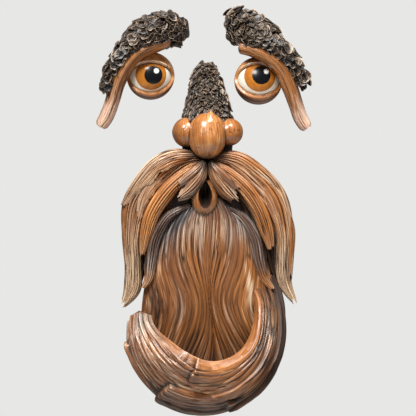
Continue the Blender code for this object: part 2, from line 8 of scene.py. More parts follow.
import bmesh
import bpy
import numpy as np
from bpy.props import FloatProperty, FloatVectorProperty, IntProperty, PointerProperty
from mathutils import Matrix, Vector


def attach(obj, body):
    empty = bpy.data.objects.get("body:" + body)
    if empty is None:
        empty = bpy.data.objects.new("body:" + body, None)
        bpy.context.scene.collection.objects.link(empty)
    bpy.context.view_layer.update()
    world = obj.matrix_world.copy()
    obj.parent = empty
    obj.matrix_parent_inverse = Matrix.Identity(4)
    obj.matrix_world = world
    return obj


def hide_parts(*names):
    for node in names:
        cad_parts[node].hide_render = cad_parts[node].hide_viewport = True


bl_info = {
    "name": "Tree face bird feeder",
    "version": (1, 0, 0),
    "blender": (4, 5, 0),
    "location": "3D View > Sidebar > Tree face",
    "description": "A bearded wood-spirit face for a tree trunk, whose curled beard holds bird seed",
    "category": "Add Mesh",
}

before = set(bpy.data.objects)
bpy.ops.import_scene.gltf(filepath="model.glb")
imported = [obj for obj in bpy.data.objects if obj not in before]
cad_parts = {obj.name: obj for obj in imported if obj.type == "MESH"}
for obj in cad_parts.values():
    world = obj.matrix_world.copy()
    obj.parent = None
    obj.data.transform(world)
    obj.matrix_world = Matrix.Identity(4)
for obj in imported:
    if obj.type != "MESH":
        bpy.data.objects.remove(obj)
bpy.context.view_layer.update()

BODY = "root"
FEEDER = "bearded_feeder"
MM = 0.001
ORIGIN = (0.0, 0.0, 0.0)

# The free forms are drawn in hundredths of their own casting's height: (across, up) or how far out.
FEEDER_PART = 0.305 / 100
EYE_PART = 0.109 / 100
EYEBALL_RADIUS = 0.0187
LID_THICKNESS = 0.0024
TRAY_WALL = 0.008
NAIL_HOLE_RADIUS = 0.0045
NAIL_HOLE_DEPTH = 0.012
FEEDER_HOLE = (0.0, 0.012)
# Each flat back has a depth of its own, so that no two lie in one plane.
BACKS = {"chin": -0.00018, "beard_lock": -0.00010, "cheek": -0.00015, "moustache": -0.00022,
         "splinter": -0.00052, "branch": -0.0001, "brow_bark": -0.0002, "eyeball": -0.0002, "lids": -0.0004}
BACK_STEP = 0.00005
RIGHT_BACK_STEP = 0.00002
BACK_PAINT_DEPTH = 0.0022


def lock(spine, half_width, crest, edge, strands, **more):
    """A lock of hair, a branch or a roll of bark along a spine of (across, up) points.

    crest and edge are how far out its middle and its sides lie. more may hold torn (the side with a ragged
    edge and how ragged it is), rounded_start, rounded_end or bark_to (where along it the flakes end).
    """
    return {"spine": spine, "half_width": half_width, "crest": crest, "edge": edge, "strands": strands, **more}


# Profiles that left and right share: crest, edge and number of strands
LONG = ([11.8, 12.6, 11.2, 9.0, 7.2], [7.5, 7.0, 6.0, 5.0, 5.6], 6)
INNER = ([12.6, 14.0, 14.2, 13.2, 11.6], [9.0, 9.4, 9.6, 9.4, 9.8], 4)
TUFT = ([13.8, 15.2, 15.0, 13.8], [10.5, 11.0, 11.4, 12.0], 4)
TOP_SPLINTER = ([13.6, 15.2, 15.2, 14.4], [10.5, 12.0, 13.0, 13.2], 3)
BEARD_SIDE = ([11.5, 12.2, 12.0, 11.4, 10.4], [8.0, 8.2, 8.4, 8.6, 9.2], 3)
BRANCH = ([31.0, 35.0, 29.0, 20.0, 15.0], [20.0, 22.0, 16.0, 10.0, 8.0], 3)
ROLL = ([22.0, 36.0, 35.0, 27.0, 20.0], [12.0, 14.0, 14.0, 12.0, 12.0], 0)
MOUSTACHE = {
    "left": {
        "long": lock([(-1.1, -2.2), (-7.8, -3.2), (-14.3, -8.1), (-20.0, -15.2), (-21.7, -24.4),
            (-21.3, -33.0), (-21.6, -40.0), (-24.6, -45.4)], [1.9, 3.5, 4.6, 4.3, 2.9, 2.5, 2.5, 0.6],
            *LONG),
        "outer": lock([(-3.2, -1.6), (-9.3, -2.0), (-14.5, -4.6), (-19.6, -10.0), (-24.4, -16.4)],
            [1.4, 2.4, 2.6, 2.2, 0.7], [12.0, 14.0, 14.2, 12.9, 10.2], [9.0, 12.0, 13.1, 12.1, 9.6], 4,
            torn=(1, 0.42)),
        "inner": lock([(-1.1, -3.4), (-5.5, -6.3), (-11.2, -11.5), (-15.5, -17.8), (-17.5, -24.4),
            (-18.7, -30.5)], [1.1, 2.0, 2.6, 2.4, 1.9, 0.7], *INNER),
        "tuft": lock([(-0.6, -3.6), (-2.0, -7.6), (-4.9, -11.2), (-8.9, -14.2)], [1.0, 2.1, 2.5, 0.9],
            *TUFT),
    },
    "right": {
        "long": lock([(0.6, -2.2), (7.2, -3.6), (13.6, -8.6), (19.0, -15.0), (21.8, -23.8), (21.9, -32.2),
            (22.6, -38.6), (25.7, -44.4)], [1.9, 3.5, 4.8, 4.6, 3.2, 2.6, 2.0, 0.6], *LONG),
        "outer": lock([(2.6, -1.6), (8.8, -2.7), (14.2, -6.3), (19.6, -11.6), (24.0, -20.0)],
            [1.4, 2.4, 2.6, 2.3, 0.7], [12.0, 13.0, 12.4, 11.0, 9.0], [9.0, 9.6, 10.0, 9.2, 8.0], 4,
            torn=(-1, 0.12)),
        "inner": lock([(0.9, -3.4), (5.5, -6.3), (11.2, -11.5), (15.2, -17.8), (17.2, -23.6),
            (18.4, -28.7)], [1.1, 2.0, 2.6, 2.4, 2.0, 0.9], *INNER),
        "tuft": lock([(0.9, -3.6), (2.6, -7.6), (5.6, -11.6), (9.6, -15.3)], [1.0, 2.1, 2.5, 0.9], *TUFT),
    },
}
# Thinner locks that lie on the moustache and end in a ragged point
SPLINTERS = {
    "left": [
        lock([(-10.0, -5.2), (-15.2, -9.6), (-18.4, -14.6), (-20.2, -22.4)], [0.8, 1.5, 1.5, 0.6],
            [11.0, 12.7, 12.4, 10.2], [10.0, 11.8, 11.4, 8.8], 3, torn=(1, 0.3)),
        lock([(-20.8, -13.0), (-22.7, -20.6), (-22.9, -28.6), (-22.6, -36.0)], [1.0, 1.5, 1.3, 0.5],
            [9.2, 9.8, 8.9, 7.9], [7.8, 8.2, 7.6, 6.6], 3, torn=(1, 0.2)),
        lock([(-0.8, -3.2), (-3.0, -5.6), (-5.8, -8.0), (-8.7, -10.4)], [1.0, 1.6, 1.5, 0.6],
            *TOP_SPLINTER),
    ],
    "right": [
        lock([(13.4, -8.2), (17.4, -12.6), (20.0, -18.4), (21.4, -25.4)], [1.0, 1.7, 1.6, 0.6],
            [11.6, 12.2, 11.2, 9.2], [10.2, 11.0, 10.0, 8.2], 3, torn=(-1, 0.15)),
        lock([(22.4, -15.8), (24.0, -23.0), (23.9, -30.4), (24.0, -37.4)], [0.9, 1.4, 1.2, 0.5],
            [9.0, 9.6, 8.7, 7.8], [7.6, 8.0, 7.4, 6.4], 3, torn=(-1, 0.15)),
        lock([(0.9, -3.2), (3.2, -6.0), (6.2, -8.8), (9.4, -11.6)], [1.0, 1.6, 1.5, 0.6], *TOP_SPLINTER),
    ],
}
BEARD_SIDES = {
    "left": lock([(-4.9, -15.8), (-11.2, -19.0), (-14.9, -25.3), (-16.1, -32.2), (-16.7, -36.8),
        (-18.4, -39.9)], [0.9, 1.7, 2.0, 1.9, 1.4, 0.6], *BEARD_SIDE),
    "right": lock([(3.2, -15.8), (9.5, -19.0), (13.5, -25.3), (14.9, -32.2), (16.4, -36.8), (19.3, -40.5)],
        [0.9, 1.7, 2.0, 1.9, 1.4, 0.6], *BEARD_SIDE),
}
# Hair behind, between the moustache and the beard, painted near black as the painted shade of that recess
CHEEKS = {
    "left": lock([(-13.0, -15.0), (-17.6, -22.0), (-19.3, -28.0), (-19.8, -33.5), (-19.9, -38.5)],
        [2.0, 3.0, 3.0, 2.5, 1.0], [7.4, 7.6, 7.4, 6.8, 6.0], [5.0, 5.0, 5.0, 5.0, 5.0], 4),
    "right": lock([(12.0, -15.0), (17.2, -22.0), (19.4, -28.0), (20.2, -33.5), (20.6, -38.0)],
        [2.0, 3.0, 3.2, 2.6, 1.0], [7.4, 7.8, 7.8, 7.2, 6.4], [5.0, 5.0, 5.0, 5.0, 5.0], 4),
}
NOSE_BARK = lock([(-0.2, 24.6), (-0.2, 20.2), (0.0, 15.6), (0.2, 10.6), (0.1, 5.0), (0.1, -2.0)],
    [2.2, 4.3, 5.4, 6.7, 7.5, 7.0], [4.0, 8.4, 11.0, 13.0, 12.0, 8.5], [2.0, 2.0, 2.4, 4.0, 6.0, 6.0], 0,
    bark_to=0.66)
CHIN = lock([(0.0, 0.5), (-0.2, -8.0), (-0.3, -16.0), (-0.2, -24.0), (0.2, -32.0)],
    [6.0, 9.5, 14.0, 16.8, 17.4], [8.0, 9.0, 9.5, 9.0, 8.5], [6.0, 6.0, 6.0, 6.0, 6.0], 0)
BROWS = {
    "left": {
        "arm": lock([(16.0, 29.0), (3.8, 25.1), (-9.9, 18.7), (-20.3, 7.4), (-26.8, -5.5), (-30.8, -19.9),
            (-35.6, -32.8), (-41.2, -41.6)], [5.4, 6.2, 6.6, 6.6, 6.4, 5.9, 5.8, 5.0], *BRANCH,
            rounded_start=0.05, rounded_end=0.93),
        "bark": lock([(26.0, 30.5), (15.0, 36.7), (-1.8, 34.6), (-15.5, 23.9), (-26.8, 10.6), (-33.2, -3.9),
            (-36.4, -11.9)], [7.5, 14.2, 13.4, 9.8, 6.4, 4.8, 2.4], *ROLL, bark_to=1.0),
    },
    "right": {
        "arm": lock([(-16.0, 27.6), (-4.2, 25.3), (8.7, 18.7), (19.1, 8.2), (25.6, -5.5), (30.4, -19.1),
            (34.4, -30.4), (40.0, -39.2)], [5.4, 6.2, 6.6, 6.6, 6.4, 5.9, 5.8, 5.0], *BRANCH,
            rounded_start=0.05, rounded_end=0.93),
        "bark": lock([(-25.0, 43.6), (-14.0, 43.2), (0.6, 37.0), (14.3, 27.0), (24.8, 16.2), (32.8, 5.0),
            (37.6, -3.1)], [10.5, 14.6, 13.8, 9.8, 6.8, 5.6, 3.0], *ROLL, bark_to=1.0),
    },
}
STRAND_DEPTH = 0.75
FULL_DEPTH_HALF_WIDTH = 2.4

BEARD_ENDS_UP = [-11.5, -17.0, -24.0, -31.0, -38.0, -45.0, -51.5, -58.0, -65.4]
BEARD_SAG = [-0.5, -2.5, -4.5, -4.5, -3.5, -2.0, 0.5, 3.5, 8.0]
BEARD_HALF_WIDTH = [2.6, 8.5, 14.0, 16.6, 18.4, 19.4, 19.4, 18.4, 15.0]
BEARD_CREST = [10.5, 12.0, 13.2, 13.2, 12.2, 10.6, 8.6, 7.0, 6.4]
BEARD_EDGE = [6.0, 6.0, 6.2, 6.6, 7.2, 7.5, 7.0, 5.0, 3.0]
BEARD_LEAN = [0.0, 0.0, 0.2, 0.4, 0.6, 0.6, 0.6, 0.4, 0.0]
BEARD_STRANDS = 22
BEARD_ROWS, BEARD_COLUMNS = 180, 400
CHIN_COLUMNS, ROLL_COLUMNS = 90, 72
BEARD_SWAY = 1.1
BEARD_SPREAD_MM = 50
BEARD_LENGTH_MM = 175
FULL_DEPTH_BEARD_WIDTH = 11.0

CURL_CENTRE = (-1.15, -52.9)
CURL_FROM, CURL_TO = -40.0, 200.0
CURL_OUTER = [24.1, 21.8, 21.3, 21.4, 21.7, 21.8, 21.6, 22.1, 22.3]
CURL_RIM = [17.8, 14.4, 11.8, 9.3, 7.5, 6.6, 7.0, 9.5, 15.8]
CURL_RIM_OUT = [9.5, 13.5, 18.5, 23.0, 25.5, 26.0, 24.5, 20.5, 14.5]
CURL_BELLY_OUT = [4.0, 6.0, 8.0, 10.0, 11.0, 11.0, 10.5, 9.5, 9.0]
CURL_STRANDS = 10
CURL_ROWS, CURL_COLUMNS = 380, 150
CURL_WIDTH_MM, CURL_LENGTH_MM = 46, 285
CURL_BACK_INSET = 0.5
CURL_BACK_OUT = 0.1
CURL_FOOT = 17.0
NARROWEST_HOLLOW = 0.5
TIP_LOBES = 5
INNER_TURNS = np.radians(np.array([66, 48, 36, 24, 12, 0]))
# Locks of the curl that lie over the others, with lobed ends:
# (span from belly to rim, angle of the end, share of the width kept at the end, lift)
CURL_OVERLAPS = [
    ((0.40, 1.50), 107.0, 0.40, 1.15),
    ((-0.50, 0.62), 126.0, 0.95, 1.1),
    ((-0.50, 0.25), 174.0, 0.90, 0.9),
    ((0.10, 0.42), 72.0, 0.62, 0.8),
]
OVERLAP_POINT = 45.0
OVERLAP_LOBE = 0.11

NOSE_BALLS = {
    "tip": {"centre": (0.1, 11.8, 4.0), "radii": (5.5, 6.6, 6.7)},
    "left_wing": {"centre": (-5.9, 9.4, 5.1), "radii": (4.1, 4.9, 4.3)},
    "right_wing": {"centre": (6.3, 9.4, 5.2), "radii": (4.1, 4.9, 4.0)},
}
LIP = {"centre": (-0.6, 10.2, -13.8), "radii": (3.9, 4.6, 5.8)}
MOUTH = {"centre": (-0.5, 16.2, -12.6), "radii": (2.1, 6.4, 4.4)}

ALMOND_POWER = 1.7
EYES = {
    "left": {
        "node": "left_eye_and_brow", "place": (-0.049715, 0.065575), "seed": 11,
        "tip": -9.5, "roll": 1.0, "across": 76.0, "up": 44.0, "flakes_within": (-0.92, 0.70),
        "iris": (0.0004, 0.0009, 0.0136), "pupil": (0.0027, 0.0004, 0.0080),
        "glint": (0.0053, 0.0042, 0.0021),
    },
    "right": {
        "node": "right_eye_and_brow", "place": (0.045215, 0.061305), "seed": 12,
        "tip": -0.5, "roll": -5.9, "across": 76.0, "up": 46.0, "flakes_within": (-0.70, 0.92),
        "iris": (0.0013, 0.0038, 0.0138), "pupil": (0.0026, 0.0046, 0.0081),
        "glint": (0.0071, 0.0079, 0.0021),
    },
}

# How each kind of lock is painted. finer and contrast multiply its strands and its dark grooves.
# Painted shade darkens most locks from their start, where they leave the others, and the cheeks all over.
PLAIN_LOOK = {"tip": 0.0, "tip_from": 0.62, "stain": 0.0, "stain_to": 1.0, "painted_shade": 0.9, "painted_shade_to": 0.07,
              "edges": 0.25, "finer": 1.0, "contrast": 1.0}
LOOKS = {
    "chin": {"worn": 0.1, "stain": 0.9, "tone": 0.1, "painted_shade": 0.0},
    "beard_lock": {"worn": 0.44, "tip": 0.05, "stain": 1.0, "stain_to": 0.60, "tone": 0.50, "painted_shade": 0.30,
                   "painted_shade_to": 0.30, "edges": 0.05, "finer": 1.7},
    "cheek": {"worn": 0.03, "stain": 0.4, "tone": 0.0, "painted_shade": 1.0, "painted_shade_to": 9.0, "edges": 0.0},
    "long": {"worn": 0.36, "tip": 0.70, "tip_from": 0.40, "stain": 0.05, "tone": 0.58, "painted_shade_to": 0.14,
             "finer": 1.5, "contrast": 1.25},
    "outer": {"worn": 0.38, "tip": 0.42, "tip_from": 0.35, "stain": 0.05, "tone": 0.58, "painted_shade_to": 0.20,
              "finer": 1.75, "contrast": 1.25},
    "inner": {"worn": 0.12, "tip": 0.34, "tip_from": 0.66, "tone": 0.74, "painted_shade_to": 0.18, "finer": 1.75},
    "tuft": {"worn": 0.30, "tip": 0.24, "tip_from": 0.6, "stain": 0.34, "tone": 0.42, "painted_shade_to": 0.35,
             "finer": 1.5},
    "splinter": {"worn": 0.26, "tip": 0.34, "tip_from": 0.5, "stain": 0.15, "tone": 0.50, "painted_shade": 0.0,
                 "finer": 1.3},
    "branch": {"worn": 0.02, "tip": 0.90, "tip_from": 0.50, "tone": 0.68, "painted_shade": 0.3, "painted_shade_to": 0.05,
               "edges": 0.0},
    "bark": {"worn": 0.05, "stain": 0.2, "tone": 0.2, "painted_shade": 0.0, "edges": 0.0},
}
RAGGED = 0.06
TUFT_RAGGED = 0.22
SPLINTER_RAGGED = 0.16
# Every piece draws its own random numbers from its own seed.
SEEDS = {"beard": 5, "chin": 9, "curl": 17, "curl_overlaps": 19, "beard_lock": 31, "cheek": 41, "moustache": 200,
         "splinter": 240, "nose_ball": 401, "lip": 431, "nose_bridge": 501, "nose_flakes": 3, "branch": 600,
         "brow_bark": 620}
RIGHT_SEED_STEP, LOCK_SEED_STEP, BALL_SEED_STEP = 100, 10, 7

LOCK_COLUMN_MM, LOCK_ROW_MM = 0.25, 0.95
SHARP_ANGLE = 55
FLAKE_SHARP_ANGLE = 70
NOISE_CELLS = 61
WALL_SHARES = (0.03, 0.25, 0.50, 0.75, 1.0)
EGG_SEGMENTS, EGG_RINGS = 96, 64
EGG_STREAK_DEPTH = 0.35
FLAKE_SEGMENTS, FLAKE_RINGS = 16, 6
FLAKE_RIPPLE, FLAKE_STAND_OFF, FLAKE_ROOT_DEPTH = 0.00026, 0.0009, 0.0030
FLAKE_EDGE_THICKNESS, FLAKE_MIDDLE_THICKNESS = 0.0007, 0.0020
BALL_SEGMENTS, BALL_RINGS, LID_SEGMENTS = 96, 60, 160
# The lids' strand coordinates, which the paint follows: round the eye, and over the lid for each radian
LID_ROUND_MM, LID_OVER_MM, RADIAN = 20, 21, 57.3
LID_INNER_DEPTH = 0.0012
BACK_BROWN, BACK_DARK = (0.060, 0.042, 0.033, 1.0), (0.038, 0.027, 0.022, 1.0)
FLOOR_COLOUR = (0.62, 0.615, 0.605, 1.0)
AMBIENT_COLOUR, SEEN_COLOUR = (1.0, 0.98, 0.96, 1.0), (0.80, 0.80, 0.79, 1.0)
FLOOR_RADIUS = 1.4
LAMP_AIM = (0.0, -0.03, -0.06)


# Shapes

def blend(values, t):
    """A smooth curve through evenly spaced values, read at t from 0 at the first to 1 at the last."""
    knots = np.asarray(values, float)
    last = len(knots) - 1
    spot = np.clip(np.asarray(t, float), 0.0, 1.0) * last
    index = np.minimum(spot.astype(int), last - 1)
    f = spot - index
    if knots.ndim > 1:
        f = f[..., None]
    before = knots[np.maximum(index - 1, 0)]
    here = knots[index]
    after = knots[index + 1]
    beyond = knots[np.minimum(index + 2, last)]
    bend = 2 * before - 5 * here + 4 * after - beyond
    twist = 3 * here - before - 3 * after + beyond
    return 0.5 * (2 * here + (after - before) * f + bend * f**2 + twist * f**3)


def unit(x):
    return np.clip(x, 0.0, 1.0)


def smooth_step(x):
    x = unit(x)
    return x * x * (3 - 2 * x)


def past(value, start, width):
    """0 until value reaches start, and rising smoothly to 1 where it is past it by width."""
    return smooth_step((value - start) / width)


def hump(value, middle, width):
    return np.exp(-(((value - middle) / width) ** 2))


def noise(u, v, seed):
    """Smooth noise from -1 to 1, with one swell to each unit of u and v."""
    table = np.random.default_rng(seed).uniform(-1, 1, (NOISE_CELLS, NOISE_CELLS))
    u, v = np.broadcast_arrays(np.asarray(u, float), np.asarray(v, float))
    u0 = np.floor(u).astype(int)
    v0 = np.floor(v).astype(int)
    fu = smooth_step(u - u0)
    fv = smooth_step(v - v0)

    def row(cell):
        cell = cell % NOISE_CELLS
        return table[u0 % NOISE_CELLS, cell] * (1 - fu) + table[(u0 + 1) % NOISE_CELLS, cell] * fu

    return row(v0) * (1 - fv) + row(v0 + 1) * fv


def cuts(u, v, seed, width):
    """Grooves that wander, merge and end: 1 in the bottom of a groove and 0 beside it."""
    swell = noise(u, v, seed) + 0.4 * noise(2.3 * u, 1.7 * v, seed + 1)
    return unit(1 - np.abs(swell) / width)


def place(across, out, up, part, origin=ORIGIN):
    return np.stack([origin[0] + across * part, -(origin[1] + out * part), origin[2] + up * part], axis=-1)


def valley(position, strands):
    """0 on the crest of a strand and 1 in the valley beside it; position runs from 0 to 1 over them all."""
    return 1 - np.abs(np.sin(math.pi * strands * position))


def carved(position, strands, across, along, seed, part, fine, deep=1.0):
    """The hair's relief: its depth in parts, and how deep in a groove each point lies, from 0 to 1."""
    wander = 0.42 * noise(position * strands * 0.8, along / 55, seed)
    wander = wander + 0.14 * noise(position * strands * 2.1, along / 30, seed + 7)
    main = valley(position + wander / max(strands, 1), strands) if strands else np.zeros(across.shape)
    main = main**1.25
    second = cuts(across / 2.1, along / 48, seed + 20, 0.24)
    third = cuts(across / 0.95, along / 30, seed + 40, 0.34)
    strength = np.clip(0.70 + 0.55 * noise(across / 5, along / 38, seed + 60), 0.15, 1.0)
    kept = np.clip(0.75 + 0.60 * noise(position * strands * 1.1, along / 42, seed + 65), 0.25, 1.0)
    depth = deep * STRAND_DEPTH * main * (0.55 + 0.45 * kept)
    depth = depth + fine * MM / part * (0.70 * second * strength + 0.24 * third)
    groove = (0.35 + 0.65 * deep) * 0.80 * main**3.5 * kept + 0.75 * second**1.6 * strength + 0.42 * third**1.5
    return depth, unit(groove)


def lock_surface(lock, q, t, part, origin, seed, fine=1.0, deep=1.0):
    """Points on a lock, with its strand coordinates in millimetres and its grooves."""
    step = 1e-3
    middle = blend(lock["spine"], t)
    run = blend(lock["spine"], t + step) - blend(lock["spine"], t - step)
    run = run / np.linalg.norm(run, axis=-1, keepdims=True)
    half = blend(lock["half_width"], t)
    if "rounded_start" in lock:
        before = np.clip(1 - t / lock["rounded_start"], 0.0, 0.97)
        half = half * np.sqrt(1 - before**2)
    if "rounded_end" in lock:
        beyond = np.clip((t - lock["rounded_end"]) / (1 - lock["rounded_end"]), 0.0, 0.97)
        half = half * np.sqrt(1 - beyond**2)
    if "torn" in lock:
        side, share = lock["torn"]
        tears = noise(t * 13, 0.5, seed + 130) + 0.7 * noise(t * 31, 0.5, seed + 131)
        half = half * (1 + share * tears * smooth_step(q * side * 1.6 - 0.5) * past(t, 0.35, 0.15))
    crest = blend(lock["crest"], t)
    edge = blend(lock["edge"], t)
    rounding = np.sqrt(unit(1 - np.abs(q) ** 2.4))
    out = edge + (crest - edge) * rounding
    along = t * lock_length(lock, part) / MM
    across = q * np.max(lock["half_width"]) * part / MM
    depth, groove = carved((q + 1) / 2, lock["strands"], across, along, seed, part, fine, deep)
    held = np.minimum(1.0, np.maximum(crest - edge, 1.6) / 3)
    out = out - depth * np.minimum(1.0, half / FULL_DEPTH_HALF_WIDTH) * held
    points = place(
        middle[..., 0] - run[..., 1] * half * q, out, middle[..., 1] + run[..., 0] * half * q, part, origin
    )
    return points, across, along, groove


def lock_length(lock, part):
    line = blend(lock["spine"], np.linspace(0, 1, 60)) * part
    return float(np.linalg.norm(np.diff(line, axis=0), axis=1).sum())


def beard_surface(q, t, seed, fine):
    half = blend(BEARD_HALF_WIDTH, t)
    inwards = 1 - q * q
    rounding = unit(1 - np.abs(q) ** 2.6) ** 0.6
    edge = blend(BEARD_EDGE, t)
    out = edge + (blend(BEARD_CREST, t) - edge) * rounding
    # The strands draw together below the middle and spread again in the bowl of the tray.
    drawn = 1 - 0.56 * hump(t, 0.64, 0.19) + 0.60 * hump(t, 0.96, 0.11)
    middle = q - 0.03 + 0.05 * np.sin(2 * math.pi * t)
    gathered = np.sign(middle) * np.abs(middle) ** drawn
    across_mm = gathered * BEARD_SPREAD_MM + 4.0 * noise(q * 1.7 + 5, t * 2.3, seed + 3) * smooth_step(t * 3)
    along_mm = t * BEARD_LENGTH_MM
    position = (across_mm / BEARD_SPREAD_MM + 1) / 2
    depth, groove = carved(position, BEARD_STRANDS, across_mm, along_mm, seed, FEEDER_PART, fine, 0.75)
    out = out - depth * np.minimum(1.0, half / FULL_DEPTH_BEARD_WIDTH) * 0.8
    sway = BEARD_SWAY * np.sin(2.5 * math.pi * t) * inwards
    across = blend(BEARD_LEAN, t) + half * q + sway
    up = blend(BEARD_ENDS_UP, t) - blend(BEARD_SAG, t) * inwards
    return place(across, out, up, FEEDER_PART), across_mm, along_mm, groove


# Meshes

def stacked(*parts):
    return np.stack(np.broadcast_arrays(*parts), axis=-1)


class Skin:
    """Vertices, faces and paint of one piece, gathered before the mesh is made."""

    def __init__(self):
        self.points = []
        self.faces = []
        self.strand = []
        self.paint = []
        self.tone = []
        self.count = 0

    def add(self, points, strand, paint, tone):
        """Adds points with their strand coordinates, (groove wash and painted shade, worn paint and painted
        highlights, stain) and tone; gives their numbers.
        """
        shape = points.shape[:-1]
        self.points.append(points.reshape(-1, 3))
        self.strand.append(np.broadcast_to(strand, points.shape).reshape(-1, 3))
        self.paint.append(np.broadcast_to(paint, points.shape).reshape(-1, 3))
        self.tone.append(np.broadcast_to(tone, shape).reshape(-1))
        numbers = self.count + np.arange(np.prod(shape)).reshape(shape)
        self.count += int(np.prod(shape))
        return numbers

    def grid(self, numbers, close_rows=False, close_columns=False):
        """Quads over a grid of vertex numbers."""
        if close_rows:
            numbers = np.concatenate([numbers, numbers[:1]])
        if close_columns:
            numbers = np.concatenate([numbers, numbers[:, :1]], axis=1)
        quads = np.stack([numbers[:-1, :-1], numbers[:-1, 1:], numbers[1:, 1:], numbers[1:, :-1]], axis=-1)
        self.faces += quads.reshape(-1, 4).tolist()

    def cap(self, ring):
        self.faces.append([int(number) for number in ring])

    def object(self, name, material, sharp=SHARP_ANGLE):
        mesh = bpy.data.meshes.new(name)
        mesh.from_pydata(np.concatenate(self.points).tolist(), [], self.faces)
        for label, values, kind, key in (
            ("strand", self.strand, "FLOAT_VECTOR", "vector"),
            ("paint", self.paint, "FLOAT_VECTOR", "vector"),
            ("tone", self.tone, "FLOAT", "value"),
        ):
            made = mesh.attributes.new(label, kind, "POINT")
            made.data.foreach_set(key, np.concatenate(values).astype(np.float32).ravel())
        tidy_mesh(mesh, sharp)
        mesh.materials.append(material)
        return linked(name, mesh)


def linked(name, data):
    """A new object in the scene."""
    made = bpy.data.objects.new(name, data)
    bpy.context.scene.collection.objects.link(made)
    return made


def tidy_mesh(mesh, sharp):
    """Turns the faces out, and shades the mesh smooth but for its sharp edges."""
    bm = bmesh.new()
    bm.from_mesh(mesh)
    bmesh.ops.triangulate(bm, faces=[face for face in bm.faces if len(face.verts) > 4])
    bmesh.ops.recalc_face_normals(bm, faces=bm.faces[:])
    for face in bm.faces:
        face.smooth = True
    bm.to_mesh(mesh)
    bm.free()
    mesh.set_sharp_from_angle(angle=math.radians(sharp))


def ring_of(numbers):
    """The vertex numbers round the border of a grid, in order."""
    return np.concatenate([numbers[0, :-1], numbers[:-1, -1], numbers[-1, :0:-1], numbers[:0:-1, 0]])


def carve(skin, points, across, along, paint, tone, rear):
    """A closed solid from a front grid straight back to a flat face at y = rear."""
    strand = stacked(across, along, np.zeros(across.shape))
    numbers = skin.add(points, strand, paint, tone)
    skin.grid(numbers)
    ring = ring_of(numbers - numbers[0, 0])
    rim, rim_strand, rim_paint = (values.reshape(-1, 3)[ring] for values in (points, strand, paint))
    rim_tone = np.broadcast_to(tone, points.shape[:-1]).reshape(-1)[ring]
    rows = [ring + numbers[0, 0]]
    for share in WALL_SHARES:
        row = rim.copy()
        row[:, 1] = rim[:, 1] + (rear - rim[:, 1]) * share
        coordinates = rim_strand.copy()
        coordinates[:, 0] += (row[:, 1] - rim[:, 1]) / MM
        # The sides are plainer than the front, with less worn paint and stain, and darken towards the back as
        # painted shade.
        coat = rim_paint * np.array([0.25, 0.45 * (1 - share), 0.7 - 0.4 * share])
        coat[:, 0] += 0.22 + 0.35 * share
        rows.append(skin.add(row, coordinates, coat, rim_tone * (1 - 0.4 * share)))
    skin.grid(np.stack(rows), close_columns=True)
    skin.cap(rows[-1])


def within(points, ball):
    """How far points lie from the middle of an egg shape, where 1 is its surface."""
    across = (points[..., 0] / FEEDER_PART - ball["centre"][0]) / ball["radii"][0]
    out = (-points[..., 1] / FEEDER_PART - ball["centre"][1]) / ball["radii"][1]
    up = (points[..., 2] / FEEDER_PART - ball["centre"][2]) / ball["radii"][2]
    return np.sqrt(across**2 + out**2 + up**2)


def make_lock(name, material, lock, look, seed, rear, part=FEEDER_PART, origin=ORIGIN, fine=1.0, ragged=RAGGED,
              columns=None, deep=1.0):
    """A piece made of one lock, branch or roll, with strands that end at different lengths."""
    look = {**PLAIN_LOOK, **LOOKS[look]}
    width = 2 * np.max(lock["half_width"]) * part / MM
    columns = columns or int(width / LOCK_COLUMN_MM)
    rows = int(lock_length(lock, part) / MM / LOCK_ROW_MM)
    q, t = np.meshgrid(np.linspace(-1, 1, columns + 1), np.linspace(0, 1, rows + 1))
    ends = (q + 1) * max(lock["strands"], 2)
    cut = 0.5 + 0.6 * noise(ends * 0.7, 0.5, seed + 80) + 0.25 * noise(ends * 2, 0.5, seed + 81)
    t = t * (1 - ragged * unit(cut) * past(t, 0.6, 0.4))
    finer = {**lock, "strands": round(look["finer"] * lock["strands"])}
    points, across, along, groove = lock_surface(finer, q, t, part, origin, seed, fine, deep)
    worn = look["worn"] + look["tip"] * past(t, look["tip_from"], 0.35)
    worn = worn + look["edges"] * np.abs(q) ** 4 + 0.30 * noise(across / 5, along / 34, seed + 90)
    if "torn" in lock:
        worn = worn + 0.35 * past(q * lock["torn"][0], 0.80, 0.15)
    worn = unit(worn) * (1 - groove) ** 0.8
    # Painted shade at the lock's start, where it comes out from under the others, and near the nose and the lip
    painted_shade = look["painted_shade"] * smooth_step(1 - t / look["painted_shade_to"])
    if part == FEEDER_PART:
        near = np.minimum.reduce([within(points, ball) for ball in (*NOSE_BALLS.values(), LIP)])
        painted_shade = np.maximum(painted_shade, 0.85 * past(1.32, near, 0.30))
    stain = unit(look["stain"] + 0.3 * noise(across / 6, along / 30, seed + 95))
    stain = stain * (1 - past(t, look["stain_to"], 0.25)) * (1 - 0.6 * groove)
    tone = unit(look["tone"] + 0.22 * noise(across / 2.6, along / 40, seed + 97))
    dark = unit(look["contrast"] * groove + painted_shade)
    skin = Skin()
    carve(skin, points, across, along, stacked(dark, worn, stain), tone, rear)
    return skin.object(name, material)


